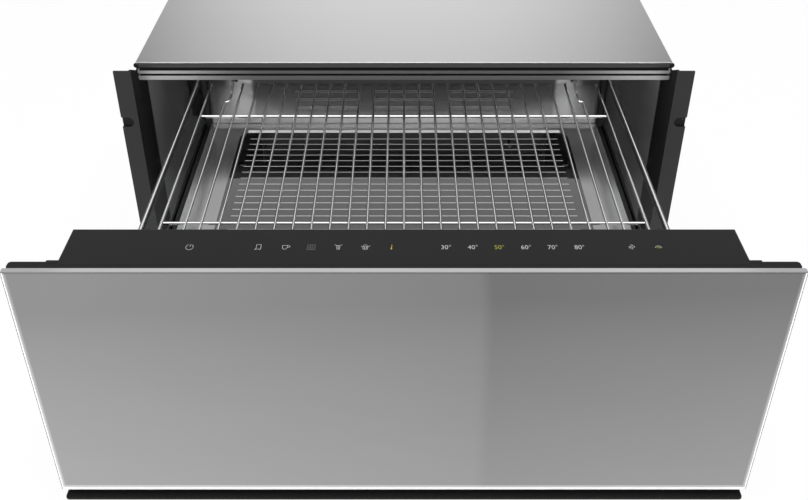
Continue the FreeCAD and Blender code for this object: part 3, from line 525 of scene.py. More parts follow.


# Painted, powder-coated or moulded skin: fine cells in the bump, a slow drift in tone, lighter edges that are
# partly wear and partly painted highlight.
def coatFinish(name, tones, rough, scale, depth, wear, specular):
    tree, shader, place = startMaterial(name)
    skin = placeGroup(tree, "speckle", vector=place, scale=scale)
    base = shade(tree, skin["Cloud"], *tones)
    if wear > 0.0:
        edge = placeGroup(tree, "edgeWear")["Edge"]
        base = shade(tree, product(tree, edge, wear), base, wornAndSheenTone)
    feedAll(
        tree, shader, baseColor=base, roughness=roughBy(tree, skin["Grain"], rough),
        specularIorLevel=specular,
    )
    addBump(tree, shader, skin["Grain"], depth * mm)


# name: tones, and how much light it gives
inks = {
    "signGrey": ((0.44, 0.52), 0.0),
    "signLit": (((0.46, 0.36, 0.06), (0.54, 0.42, 0.08)), 0.2),
    "signGreen": (((0.26, 0.24, 0.03), (0.31, 0.29, 0.04)), 0.2),
}
inkLook = {"scale": 220.0, "rough": (0.35, 0.50), "specular": 0.2}


# Printed or lit sign: a plain pigment with a fine drift in tone, and a little light of its own.
def signFinish(name, tones, light):
    tree, shader, place = startMaterial(name)
    drift = addNoise(tree, place, inkLook["scale"])
    ink = shade(tree, drift, *tones)
    feedAll(
        tree, shader, baseColor=ink, emissionColor=ink, emissionStrength=light,
        roughness=roughBy(tree, drift, inkLook["rough"]), specularIorLevel=inkLook["specular"],
    )


coverLook = {
    # The middle tone and what it loses towards the ends and the front are painted light and shade on the
    # cover.
    "middle": 0.69, "ends": 0.42, "endPower": 2.4,  # tone in the middle, and the share lost at the ends
    "depth": (-199 * mm, 20 * mm), "endReach": (332 * mm, 376 * mm), "frontShare": 0.79,
    "density": (5.0, 700.0, 700.0), "grain": (0.992, 1.008), "rough": (0.29, 0.31), "metallic": 0.2,
}


# Brushed cover: a painted pool of light in the middle of the steel, standing in for the overhead light's
# sheen, that deepens towards both ends as a power of the distance and a little towards the front as painted
# shade, with fine grain across it.
def coverFinish():
    tree, shader, place = startMaterial("coverSteel")
    lines = placeGroup(tree, "brushed", vector=place, density=coverLook["density"])
    across, along, _ = splitXyz(tree, place)
    reach = mapRange(tree, along, coverLook["depth"], coverLook["endReach"])
    away = doMath(tree, "DIVIDE", absolute(tree, across), reach)
    loss = product(tree, doMath(tree, "POWER", away, coverLook["endPower"]), coverLook["ends"])
    share = mapRange(tree, along, coverLook["depth"], (coverLook["frontShare"], 1.0))
    grain = mapRange(tree, lines["Grain"], grainSpan, coverLook["grain"])
    feedAll(
        tree, shader,
        baseColor=product(tree, doMath(tree, "SUBTRACT", 1.0, loss), coverLook["middle"], share, grain),
        roughness=roughBy(tree, lines["Grain"], coverLook["rough"]), metallic=coverLook["metallic"],
    )


wallLook = {
    # Painted light and shade on the wall: the tones darken upwards as painted shade under the trim, the band
    # by the louvres is a painted reflection, and the darker edge beyond it is painted shade.
    "height": (216 * mm, 272 * mm), "tones": (0.27, 0.070),  # tone at the foot and under the trim
    "panel": (203 * mm, 210 * mm), "fold": (222 * mm, 246 * mm), "gain": (0.20, 0.48),  # band by the louvres
    "edge": (243 * mm, 257 * mm), "edgeShare": 0.42,
    "density": (5.0, 300.0, 300.0), "cloudScale": 4.0, "drift": (0.97, 1.03),
    "rough": (0.16, 0.22), "metallic": 0.35,
}


# Rear wall: steel with painted light and shade: it deepens upwards as painted shade under the trim, with a
# lighter upright band of painted reflection between the louvred field and each end and a darker painted edge
# beyond it: (tone(z) + gain(z) * band(x)) * edge(x).
def wallFinish():
    tree, shader, place = startMaterial("wallSteel")
    look = wallLook
    lines = placeGroup(
        tree, "brushed", vector=place, density=look["density"], cloudScale=look["cloudScale"]
    )
    across, _, up = splitXyz(tree, place)
    away = absolute(tree, across)
    tone = mapRange(tree, up, look["height"], look["tones"])
    gain = mapRange(tree, up, look["height"], look["gain"])
    rising = mapRange(tree, away, look["panel"], (0.0, gain), "SMOOTHSTEP")
    falling = mapRange(tree, away, look["fold"], (1.0, 0.0), "SMOOTHSTEP")
    edge = mapRange(tree, away, look["edge"], (1.0, look["edgeShare"]))
    drift = mapRange(tree, lines["Cloud"], grainSpan, look["drift"])
    lit = doMath(tree, "ADD", tone, product(tree, rising, falling))
    feedAll(
        tree, shader, baseColor=product(tree, lit, edge, drift),
        roughness=roughBy(tree, lines["Grain"], look["rough"]), metallic=look["metallic"],
    )


sealLook = {
    # The tones from foot to crown are painted light and shade on the seal, and the black below the paler band
    # is a painted shadow under it.
    "rise": (299.0 * mm, 301.8 * mm), "tones": (0.085, 0.030),  # tone at the foot and at the crown
    "lip": (298.9 * mm, 299.7 * mm), "lipShare": 0.06,  # black below the paler band
    "knob": (350.0 * mm, 352.0 * mm), "knobShare": 0.12,
    "scale": 1500.0, "rough": (0.50, 0.62), "specular": 0.15, "bump": 0.01 * mm,
}


# Soft seal: rubber with painted light and shade, paler along its front and darker at its crown, a painted
# shadow in black on the lip below it, and black on the end knobs.
def sealFinish():
    tree, shader, place = startMaterial("sealRubber")
    skin = placeGroup(tree, "speckle", vector=place, scale=sealLook["scale"])
    across, _, up = splitXyz(tree, place)
    tone = mapRange(tree, up, sealLook["rise"], sealLook["tones"])
    lip = mapRange(tree, up, sealLook["lip"], (sealLook["lipShare"], 1.0))
    knob = mapRange(tree, absolute(tree, across), sealLook["knob"], (1.0, sealLook["knobShare"]))
    feedAll(
        tree, shader, baseColor=product(tree, tone, lip, knob),
        roughness=roughBy(tree, skin["Grain"], sealLook["rough"]),
        specularIorLevel=sealLook["specular"],
    )
    addBump(tree, shader, skin["Grain"], sealLook["bump"])


zincLook = {
    "tones": (0.58, 0.70), "span": (0.2, 0.8), "rough": (0.34, 0.50), "scale": 120.0, "metallic": 0.4,
    "clouds": 0.5, "bump": 0.002 * mm,
}


# Galvanised sheet: spangle crystals change the tone and the roughness, clouds dull it in patches.
def zincFinish():
    tree, shader, place = startMaterial("zincSheet")
    crystals = placeGroup(tree, "spangle", vector=place, scale=zincLook["scale"])
    mixed = mixValue(tree, zincLook["clouds"], crystals["Grain"], crystals["Cloud"])
    feedAll(
        tree, shader, baseColor=shade(tree, mixed, *zincLook["tones"]),
        roughness=mapRange(tree, mixed, zincLook["span"], zincLook["rough"]),
        metallic=zincLook["metallic"],
    )
    addBump(tree, shader, crystals["Grain"], zincLook["bump"])


# A glass with wipe marks over its tone and roughness.
def startGlass(name, look, **marks):
    tree, shader, place = startMaterial(name)
    smear = placeGroup(tree, "smear", vector=place, **marks)["Smear"]
    base = shade(tree, smear, *look["tones"])
    feedAll(tree, shader, baseColor=base, roughness=roughBy(tree, smear, look["rough"]))
    return tree, shader, place, base


panelGlassLook = {"tones": (0.012, 0.015), "rough": (0.12, 0.18), "specular": 0.07}


# Panel glass: opaque, a dark body printed behind a clear face.
def panelGlassFinish():
    _, shader, _, _ = startGlass("panelGlass", panelGlassLook)
    shader.inputs["Specular IOR Level"].default_value = panelGlassLook["specular"]


sideGlassLook = {"tones": ((0.84, 0.86, 0.85), (0.88, 0.90, 0.89)), "rough": (0.0, 0.01), "ior": 1.03}


# Clear side glass: full transmission with a faint tint.
def sideGlassFinish():
    tree, shader, _, _ = startGlass("sideGlass", sideGlassLook)
    feedAll(tree, shader, transmissionWeight=1.0, ior=sideGlassLook["ior"])


frontGlassLook = {
    "tones": (0.425, 0.455), "rough": (0.04, 0.07),
    # from an edge inwards: full until, gone at, tone
    # The side and foot bands are a painted highlight; the top line is a darker tone.
    "sideBand": (2.2 * mm, 5.6 * mm, 0.84), "footBand": (6.0 * mm, 7.6 * mm, 0.70),
    "topLine": (1.6 * mm, 2.6 * mm, 0.34),
}


# Silvered grey glass: a mirror body, with soft lighter bands inside its side and foot edges as a painted
# highlight, and a darker line inside its top edge.
def frontGlassFinish():
    tree, shader, place, base = startGlass("mirrorGrey", frontGlassLook)
    low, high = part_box("front_glass")
    across, _, up = splitXyz(tree, place)
    ways = {
        "sideBand": (float(high[0]), absolute(tree, across)), "footBand": (up, float(low[2])),
        "topLine": (float(high[2]), up),
    }
    for band, (outer, inner) in ways.items():
        full, end, tone = frontGlassLook[band]
        away = doMath(tree, "SUBTRACT", outer, inner)
        base = shade(tree, mapRange(tree, away, (full, end), (1.0, 0.0)), base, tone)
    feedAll(tree, shader, baseColor=base, metallic=1.0)


floorGlassLook = {
    "tones": (0.0012, 0.0022), "rough": (0.015, 0.035), "wipe": (9.0, 6.0, 6.0), "coatRough": 0.02,
    "lineTone": 0.52, "lineReach": 207 * mm,
    "lines": {"start": -236.6 * mm, "pitch": 14.6 * mm, "width": 1.3 * mm, "count": 23.0},
}


# Black heated glass: a near-black body under two clear layers, with pale lines printed across it.
def floorGlassFinish():
    tree, shader, place, base = startGlass("floorGlass", floorGlassLook, wipe=floorGlassLook["wipe"])
    across, along, _ = splitXyz(tree, place)
    stripe = placeGroup(tree, "stripes", place=along, **floorGlassLook["lines"])["Stripe"]
    within = doMath(tree, "LESS_THAN", absolute(tree, across), floorGlassLook["lineReach"])
    feedAll(
        tree, shader,
        baseColor=shade(tree, product(tree, stripe, within), base, floorGlassLook["lineTone"]),
        coatWeight=1.0, coatRoughness=floorGlassLook["coatRough"],
    )


for makeFinish, table in (
    (metalFinish, metals), (gradedMetal, gradedMetals), (coatFinish, coats), (signFinish, inks)
):
    for name, values in table.items():
        makeFinish(name, *values)
for makeFinish in (
    coverFinish, wallFinish, sealFinish, zincFinish, panelGlassFinish, sideGlassFinish, frontGlassFinish,
    floorGlassFinish,
):
    makeFinish()

ownFinish = {"ceiling_liner": "ceilingDark", "front_glass": "mirrorGrey"}  # nodes that differ from their slot


# A slot's finish has the slot's own name in camelCase, unless the node has a finish of its own.
def dressNodes():
    for name, node in nodes.items():
        first, *others = slotOf[name].split("_")
        finish = ownFinish.get(name, first + "".join(word.capitalize() for word in others))
        node.data.materials.clear()
        node.data.materials.append(finishes[finish])


dressNodes()
print("nodes dressed")


# Pieces that stay out of mirror images, which keeps the glass and the steel calm.
outOfMirrors = {
    "wireRack", "louvredWall", "leftRailBead", "rightRailBead", "trimBars", "softSeal", "coverSheet",
    "ceilingWool",
}
meshLook = {
    "merge": 0.0005 * mm,  # points closer than this are one
    "guard": 0.4,  # of a tube's radius: the way in from a run's ends within which its normals turn
    "longest": 2.0,  # how far a ribbon's turn may stretch its width
}


# Quads between neighbouring rows of a grid, its columns closed into a ring where asked.
def gridFaces(rows, columns, ring):
    row, column = np.meshgrid(np.arange(rows - 1), np.arange(columns if ring else columns - 1), indexing="ij")
    first = row * columns
    after = (column + 1) % columns
    corners = (first + column, first + after, first + columns + after, first + columns + column)
    return np.stack(corners, axis=-1).reshape(-1, 4)


# Faces of a tube of rows, with a flat end at both sides.
def closedFaces(rows, columns):
    ends = np.arange(columns)[None, :]
    return [gridFaces(rows, columns, True), ends[:, ::-1], ends + (rows - 1) * columns]


# Puts a mesh into the scene with smooth faces and sharp edges above the angle.
def addPiece(name, mesh, angle):
    mesh.shade_smooth()
    mesh.set_sharp_from_angle(angle=math.radians(angle))
    piece = bpy.data.objects.new(name, mesh)
    scene.collection.objects.link(piece)
    return piece


# One mesh object from parts of points and faces; doubles are merged and the faces turned outwards.
def makePiece(name, parts, angle=35.0, flatFaces=False):
    faces = []
    start = 0
    for points, blocks in parts:
        for block in blocks:
            faces.extend((block + start).tolist())
        start += len(points)
    mesh = bpy.data.meshes.new(name)
    mesh.from_pydata(np.concatenate([points for points, _ in parts]).tolist(), [], faces)
    shape = bmesh.new()
    shape.from_mesh(mesh)
    bmesh.ops.remove_doubles(shape, verts=shape.verts, dist=meshLook["merge"])
    bmesh.ops.recalc_face_normals(shape, faces=shape.faces)
    shape.to_mesh(mesh)
    shape.free()
    piece = addPiece(name, mesh, angle)
    if flatFaces:
        piece.modifiers.new("flatFaces", "WEIGHTED_NORMAL").keep_sharp = True
    return piece


# Gives faces their material: the choice is a number made from a face's middle and normal.
def paint(piece, choose):
    for face in piece.data.polygons:
        face.material_index = choose(face.center, face.normal)


# Gives a piece its finishes and its place in mirrors, hangs it on the body of the imported node it stands
# for, and hides that node when it replaces it.
def seat(piece, node, *names, replacing=True):
    piece.data.materials.clear()
    for name in names:
        piece.data.materials.append(finishes[name])
    piece.visible_glossy = piece.name not in outOfMirrors
    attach(piece, bodyOf[node])
    if replacing:
        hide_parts(node)


# Adds a point a little way in from both ends of every run that is longer than three such ways, so that
# normals only turn near the ends.
def guarded(path, margin):
    runs = np.diff(path, axis=0)
    lengths = np.linalg.norm(runs, axis=1)
    long = lengths > 3 * margin
    ways = runs / lengths[:, None]
    steps = np.stack([path[:-1], path[:-1] + ways * margin, path[1:] - ways * margin], axis=1)
    keep = np.stack([np.ones_like(long), long, long], axis=1)
    return np.concatenate([steps[keep], path[-1:]])


# Angles round a drawn wire: two arcs that leave a narrow flat of the given half angle at the crown and foot.
def wireAngles(sides, crown):
    side = np.linspace(-math.pi / 2 + crown, math.pi / 2 - crown, sides // 2)
    return np.concatenate([side, side + math.pi])


# A tube: circles square to a path of points, closed at each end by a half-round cap of shrinking circles.
def tube(path, radius, sides=14, capRings=4, crown=0.0):
    path = guarded(np.asarray(path, dtype=float), meshLook["guard"] * radius)
    way = np.gradient(path, axis=0)
    way /= np.linalg.norm(way, axis=1, keepdims=True)
    bow = np.linspace(math.pi / 2, 0.0, capRings, endpoint=False)
    head = path[0] - way[0] * (radius * np.sin(bow))[:, None]
    foot = path[-1] + way[-1] * (radius * np.sin(bow[::-1]))[:, None]
    centres = np.concatenate([head, path, foot])
    ways = np.concatenate([np.repeat(way[:1], capRings, axis=0), way, np.repeat(way[-1:], capRings, axis=0)])
    radii = np.concatenate([radius * np.cos(bow), np.full(len(path), radius), radius * np.cos(bow[::-1])])
    sideways = np.cross(ways, (0.0, 0.0, 1.0))
    sideways /= np.linalg.norm(sideways, axis=1, keepdims=True)
    upwards = np.cross(sideways, ways)
    turn = wireAngles(sides, crown) if crown > 0.0 else np.linspace(0.0, 2 * math.pi, sides, endpoint=False)
    turn = turn[None, :, None]
    ring = sideways[:, None, :] * np.cos(turn) + upwards[:, None, :] * np.sin(turn)
    points = centres[:, None, :] + ring * radii[:, None, None]
    return points.reshape(-1, 3), [gridFaces(len(centres), sides, True)]


# A closed plate: rounded rectangles stacked along a depth, with flat ends. Each level is
# (low first, high first, low second, high second, corner radius, depth); axes says which is X, Y and Z.
def plate(levels, axes=(0, 1, 2), steps=5):
    levels = np.asarray(levels, dtype=float)
    turn = np.linspace(0.0, math.pi / 2, steps)
    angles = np.concatenate([turn + quarter * math.pi / 2 for quarter in range(4)])
    lowA, highA, lowB, highB, radius, depth = (levels[:, index:index + 1] for index in range(6))
    rightSide = np.repeat([1.0, 0.0, 0.0, 1.0], steps)[None, :]
    upperSide = np.repeat([1.0, 1.0, 0.0, 0.0], steps)[None, :]
    first = lowA + radius + (highA - lowA - 2 * radius) * rightSide + radius * np.cos(angles)[None, :]
    second = lowB + radius + (highB - lowB - 2 * radius) * upperSide + radius * np.sin(angles)[None, :]
    third = np.broadcast_to(depth, first.shape)
    points = np.stack([first, second, third], axis=-1)[..., list(axes)]
    return points.reshape(-1, 3), closedFaces(len(levels), len(angles))


# Levels of a plate from its two spans and rows of inset and depth; the corner may shrink with the inset.
def insetLevels(spanA, spanB, corner, rows, shrink=0.0):
    (lowA, highA), (lowB, highB) = spanA, spanB
    return [
        (lowA + inset, highA - inset, lowB + inset, highB - inset, corner - shrink * inset, depth)
        for inset, depth in rows
    ]


# A plate of one outline between two depths.
def block(spanA, spanB, corner, depths, axes=(0, 1, 2), steps=3):
    return plate(insetLevels(spanA, spanB, corner, [(0.0, depth) for depth in depths]), axes, steps)


# Levels of a plate whose far edge is rounded: the insets and depths follow a quarter circle.
def roundedEnd(low, high, start, end, corner, radius, steps=5):
    way = math.copysign(1.0, end - start)
    turn = np.linspace(0.0, math.pi / 2, steps)
    rows = zip(radius * (1.0 - np.cos(turn)), end - way * radius * (1.0 - np.sin(turn)))
    return insetLevels((low[0], high[0]), (low[1], high[1]), corner, [(0.0, start), *rows])


# A strip: a section in Y and Z carried along X; its relief sinks to nothing over the way in from both ends.
def strip(reach, inset, section, relief):
    ends = np.array([-reach, -reach + inset, reach - inset, reach])
    share = np.array([0.0, 1.0, 1.0, 0.0])
    points = np.zeros((len(ends), len(section), 3))
    points[..., 0] = ends[:, None]
    points[..., 1:] = section[None] + relief[None] * share[:, None, None]
    return points.reshape(-1, 3), [gridFaces(len(ends), len(section), False)]


# A flat ribbon of one width along points in a plane, with mitred turns, as a thin closed strip.
def ribbon(points, width, low, high, closed=False):
    before = np.roll(points, 1, axis=0)
    after = np.roll(points, -1, axis=0)
    if not closed:
        before[0] = 2 * points[0] - points[1]
        after[-1] = 2 * points[-1] - points[-2]
    wayIn = points - before
    wayOut = after - points
    wayIn /= np.linalg.norm(wayIn, axis=1, keepdims=True)
    wayOut /= np.linalg.norm(wayOut, axis=1, keepdims=True)
    mean = wayIn + wayOut
    mean /= np.linalg.norm(mean, axis=1, keepdims=True)
    normal = np.stack([-mean[:, 1], mean[:, 0]], axis=1)
    turn = np.abs((mean * wayIn).sum(axis=1, keepdims=True))
    half = np.minimum(1.0 / turn, meshLook["longest"]) * width / 2
    left = points + normal * half
    right = points - normal * half
    rings = [np.column_stack([side, np.full(len(side), level)])
             for side, level in ((left, low), (right, low), (right, high), (left, high))]
    grid = np.stack(rings, axis=1)
    if closed:
        grid = np.concatenate([grid, grid[:1]])
        return grid.reshape(-1, 3), [gridFaces(len(grid), 4, True)]
    return grid.reshape(-1, 3), closedFaces(len(grid), 4)


easing = {"merge": 0.002 * mm, "flat": math.radians(0.6), "sharp": 32.0, "segments": 2}


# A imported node's own shape with its edges eased: doubles merged, flat faces joined, sharp edges bevelled.
# It may be stretched in X and, from a line, in Y, and its top points sunk.
def easedCopy(node, name, finish, width, stretch=(1.0, 1.0), about=0.0, sink=0.0):
    mesh = nodes[node].data.copy()
    mesh.name = name
    points = np.empty(len(mesh.vertices) * 3)
    mesh.vertices.foreach_get("co", points)
    points = points.reshape(-1, 3)
    points[:, 0] *= stretch[0]
    points[:, 1] = about + (points[:, 1] - about) * stretch[1]
    points[:, 2] -= sink * (points[:, 2] > points[:, 2].max() - sink)
    mesh.vertices.foreach_set("co", points.ravel())
    shape = bmesh.new()
    shape.from_mesh(mesh)
    bmesh.ops.remove_doubles(shape, verts=shape.verts, dist=easing["merge"])
    bmesh.ops.dissolve_limit(
        shape, angle_limit=easing["flat"], verts=shape.verts, edges=shape.edges, use_dissolve_boundaries=False
    )
    shape.to_mesh(mesh)
    shape.free()
    piece = addPiece(name, mesh, easing["sharp"])
    bevel = piece.modifiers.new("easedEdges", "BEVEL")
    bevel.width = width
    bevel.segments = easing["segments"]
    bevel.limit_method = "ANGLE"
    bevel.angle_limit = math.radians(easing["sharp"])
    bevel.harden_normals = True
    bevel.use_clamp_overlap = True
    seat(piece, node, finish)
    return piece


frontGlass = {
    # insets at the side, foot and top and the depth behind the face, in millimetres, from the face back
    "rings": ((2.2, 4.4, 0.45, 0.0), (0.8, 0.3, 0.25, 0.15), (0.0, 0.0, 0.0, 0.5)),
    "corner": 0.8 * mm,
    "lower": 0.4 * mm,  # how far the pane reaches below the node, over the frame's edge
    "deeper": 0.4 * mm,  # and into its backing sheet
    "flat": 0.99999,  # faces that look this straight to the front or the back aren't edges
    "topEdge": 1 * mm,
}


# Pane with a ground edge: a white inner facet and a grey outer one; its top is polished above a darker facet.
def makeFrontGlass():
    low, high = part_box("front_glass")
    lowest = low[2] - frontGlass["lower"]
    levels = [
        (low[0] + side * mm, high[0] - side * mm, lowest + foot * mm, high[2] - top * mm,
         frontGlass["corner"], low[1] + depth * mm)
        for side, foot, top, depth in frontGlass["rings"]
    ]
    levels.append((*levels[-1][:5], high[1] + frontGlass["deeper"]))
    piece = makePiece("frontGlassPane", [plate(levels, (0, 2, 1), steps=3)], angle=12.0)
    seat(piece, "front_glass", "mirrorGrey", "edgeWhite", "edgeGrey", "polishedGlass", "edgeShade")
    whiteEnd, edgeEnd = (low[1] + ring[3] * mm for ring in frontGlass["rings"][1:])
    topEdge = high[2] - frontGlass["topEdge"]

    def edge(middle, normal):
        if abs(normal.y) > frontGlass["flat"]:
            return 0
        if middle.z > topEdge:
            return 4 if middle.y < edgeEnd else 3
        return 1 if middle.y < whiteEnd else 2

    paint(piece, edge)


frameLook = {"reach": 373.4 * mm, "rear": -660.4 * mm, "rise": 0.1 * mm, "corner": 3.2 * mm, "edge": 0.7 * mm}


# Black frame behind the glass: one solid plate with rounded rear corners and eased upper edges.
def makeFrame():
    low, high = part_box("front_frame")
    levels = roundedEnd(
        (-frameLook["reach"], low[1]), (frameLook["reach"], frameLook["rear"]),
        low[2], high[2] + frameLook["rise"], frameLook["corner"], frameLook["edge"],
    )
    seat(makePiece("frontFrame", [plate(levels, steps=7)], flatFaces=True), "front_frame", "frameBlack")


ledge = {
    "wider": 0.95 * mm, "shorter": 0.6 * mm, "corner": 4 * mm,
    # inset and depth in millimetres, from the foot up and from the top down
    "foot": ((0.6, 0.0), (0.0, 0.6)), "top": ((0.0, 0.5), (0.15, 0.15), (0.5, 0.0)),
}


# Ledge under the front: a plate with eased edges at its front and sides and a square rear edge.
def makeLedge():
    low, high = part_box("bottom_ledge")
    rows = [(inset * mm, low[2] + rise * mm) for inset, rise in ledge["foot"]]
    rows += [(inset * mm, high[2] - drop * mm) for inset, drop in ledge["top"]]
    levels = [
        (low[0] - ledge["wider"] + inset, high[0] + ledge["wider"] - inset,
         low[1] + ledge["shorter"] + inset, high[1], ledge["corner"] - inset, level)
        for inset, level in rows
    ]
    seat(makePiece("footLedge", [plate(levels)], flatFaces=True), "bottom_ledge", "frameBlack")


makeFrontGlass()
makeFrame()
makeLedge()
print("drawer front ready")


# Rows of inset and depth for a plate from its foot to its eased upper edge, whose middle stands out.
def easedTop(foot, top, edge, middle=0.3):
    return [(0.0, foot), (0.0, top - edge), (middle * edge, top - middle * edge), (edge, top)]


panel = {
    "edge": 0.35 * mm, "drop": 0.10 * mm, "corner": 2.0 * mm,
    "front": -666.3 * mm,  # the glass laps over the frame's top
    "narrower": 0.9962, "deeper": 1.022,  # how the tray and its glass differ from the node's width and depth
    "trayEdge": 0.3 * mm,
    "traySink": 0.5 * mm,  # how far the tray's rim stays below the glass
    "lug": (322 * mm, 338 * mm), "lugRear": -658.8 * mm, "lugDepth": 5 * mm, "lugHeight": 4 * mm,
    "lugCorner": 0.6 * mm, "lugEdge": 0.3 * mm,
}


# Panel glass: a plate with an eased upper edge, on a tray with lugs at both ends, just behind the frame.
def makePanel():
    low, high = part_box("control_glass")
    boxLow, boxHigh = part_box("control_box")
    edge = panel["edge"]
    half = high[0] * panel["narrower"]
    rear = boxLow[1] + (high[1] - boxLow[1]) * panel["deeper"]
    rows = easedTop(low[2], high[2] - panel["drop"], edge)
    levels = insetLevels((-half, half), (panel["front"], rear), panel["corner"], rows)
    seat(makePiece("panelGlass", [plate(levels, steps=3)], flatFaces=True), "control_glass", "panelGlass")
    easedCopy(
        "control_box", "panelTray", "blackPlastic", panel["trayEdge"],
        stretch=(panel["narrower"], panel["deeper"]), about=boxLow[1], sink=panel["traySink"],
    )
    lugs = []
    edge = panel["lugEdge"]
    span = (panel["lugRear"] - panel["lugDepth"], panel["lugRear"])
    rows = ((0.0, boxHigh[2] - panel["lugHeight"]), (0.0, boxHigh[2] - edge), (edge, boxHigh[2]))
    for side in (-1, 1):
        ends = sorted(side * reach for reach in panel["lug"])
        lugs.append(plate(insetLevels(ends, span, panel["lugCorner"], rows), steps=3))
    seat(makePiece("panelLugs", lugs, flatFaces=True), "control_box", "frameBlack", replacing=False)


# An arc of an ellipse between two angles in degrees.
def arc(centreX, centreY, radiusX, radiusY, start, end, steps):
    turn = np.radians(np.linspace(start, end, steps))
    return np.column_stack([centreX + radiusX * np.cos(turn), centreY + radiusY * np.sin(turn)])


signs = {
    "row": -637.4 * mm, "sink": 0.02 * mm, "lift": 0.03 * mm, "stroke": 0.42 * mm, "dot": 0.9 * mm,
    "scale": (0.93, 0.82),
    "power": -206.4, "tray": -140.2, "cup": -113.3, "grid": -89.2, "bowl": -63.2, "pot": -37.0,
    "gauge": -12.0, "hand": 219.3, "link": 244.9, "linkCore": 244.9,
    "heats": ("30", "40", "50", "60", "70", "80"), "litHeat": 2, "firstHeat": 40.4, "heatPitch": 25.69,
    "digits": (9.4 * mm, 6.9 * mm), "digitDepth": 0.02, "digitOffset": -0.010,
}
# name: finish and its signs
signGroups = {
    "panelSigns": ("signGrey", ("power", "tray", "cup", "grid", "bowl", "pot", "hand", "link")),
    "litSigns": ("signLit", ("gauge",)),
    "linkSign": ("signGreen", ("linkCore",)),
}


# Each sign as strokes: points in millimetres about its middle, +x right and +y towards the back. The first
# list holds open strokes and the second those that close on themselves.
strokes = {
    "power": ([arc(0.0, 0.0, 3.7, 5.4, 112.0, 422.0, 34), ((0.8, 5.6), (0.3, 0.4))], []),
    "tray": ([], [(
        (-1.7, 5.2), (2.2, 5.2), (2.7, 4.5), (2.7, -4.0), (2.0, -5.2), (1.1, -3.9), (-1.4, -3.9),
        (-2.9, -5.2), (-3.1, -4.2), (-2.1, -1.6), (-2.1, 4.6),
    )]),
    "cup": ([arc(2.2, 1.0, 1.5, 1.9, 130.0, -130.0, 10)], [(
        (-3.9, 3.4), (1.2, 3.4), (1.2, -0.6), (0.0, -3.6), (-1.0, -4.2), (-2.5, -4.2), (-3.5, -3.0),
        (-3.9, -0.4),
    )]),
    "grid": ([
        ((x - 0.28 + lean, y), (x + 0.28 + lean, y))
        for y, lean in ((4.4, 0.3), (0.0, 0.0), (-4.4, -0.3))
        for x in (-3.7, -1.2, 1.2, 3.7)
    ], []),
    "bowl": ([
        ((-3.9, 4.8), (-2.0, 3.2), (2.0, 3.2), (3.9, 4.8)),
        ((-1.6, 3.2), (-1.4, -4.4), (1.4, -4.4), (1.6, 3.2)),
        ((0.0, 2.8), (0.0, -4.0)),
    ], []),
    "pot": ([
        arc(-0.3, 1.0, 2.2, 3.8, 15.0, 165.0, 9),
        ((2.7, 0.6), (4.8, 3.0)), ((-3.2, 0.4), (-4.6, 2.2)),
        ((-1.0, 0.6), (-0.9, -4.0)), ((0.9, 0.6), (0.8, -4.0)),
    ], [((-2.5, -4.4), (-2.8, 1.0), (2.3, 1.0), (1.9, -4.4))]),
    "hand": ([
        ((-2.9, -2.4), (-2.7, 0.8), (-1.2, 2.2), (0.2, 0.6), (0.0, -4.6)),
        ((-0.4, 5.4), (3.0, 1.0), (1.6, -1.6)), ((-1.5, 0.0), (-1.4, -3.8)),
    ], []),
    "link": ([arc(0.0, -4.2, 3.9, 6.6, 25.0, 155.0, 12)], []),
    "linkCore": ([
        arc(0.0, -4.2, 2.4, 4.6, 30.0, 150.0, 8), arc(0.3, -3.8, 1.2, 2.6, 30.0, 150.0, 6),
    ], []),
    "gauge": ([((0.35, 4.8), (0.1, -2.0))], [
        arc(-0.1, -3.3, 0.6, 1.0, 0.0, 340.0, 10), ((0.0, 0.6), (-0.7, -3.0), (0.6, -3.0)),
    ]),
}


# A line of digits as points and faces: a font outline made a mesh, then scaled to a width and a height.
def digits(text, centreX, centreY, level, depth):
    curve = bpy.data.curves.new("digits", "FONT")
    curve.body = text
    curve.extrude = signs["digitDepth"]
    curve.offset = signs["digitOffset"]
    holder = bpy.data.objects.new("digits", curve)
    mesh = bpy.data.meshes.new_from_object(holder)
    points = np.empty(len(mesh.vertices) * 3)
    mesh.vertices.foreach_get("co", points)
    points = points.reshape(-1, 3)
    low = points.min(axis=0)
    share = (points - low) / (points.max(axis=0) - low)
    points[:, :2] = (share[:, :2] - 0.5) * signs["digits"] + (centreX, centreY)
    points[:, 2] = level + share[:, 2] * depth
    faces = [np.array([list(face.vertices)]) for face in mesh.polygons]
    bpy.data.objects.remove(holder)
    bpy.data.curves.remove(curve)
    bpy.data.meshes.remove(mesh)
    return points, faces


# Printed signs lie a hair above the panel glass; the lit ones carry their own finish.
def makeSigns():
    _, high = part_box("control_glass")
    level = high[2] - panel["drop"] - signs["sink"]
    top = level + signs["sink"] + signs["lift"]
    parts = {name: [] for name in signGroups}
    for index, heat in enumerate(signs["heats"]):
        owner = "linkSign" if index == signs["litHeat"] else "panelSigns"
        across = (signs["firstHeat"] + index * signs["heatPitch"]) * mm
        parts[owner].append(digits(heat + "\u00b0", across, signs["row"], level, top - level))
    for name, (finish, members) in signGroups.items():
        for member in members:
            middle = np.array([signs[member] * mm, signs["row"]])
            width = signs["dot"] if member == "grid" else signs["stroke"]
            for closed, group in enumerate(strokes[member]):
                for points in group:
                    place = middle + np.array(points) * signs["scale"] * mm
                    parts[name].append(ribbon(place, width, level, top, bool(closed)))
        seat(makePiece(name, parts[name], angle=30.0), "control_glass", finish, replacing=False)


makePanel()
makeSigns()
print("control panel ready")


floorGlass = {"corner": 5 * mm, "edge": 0.5 * mm}


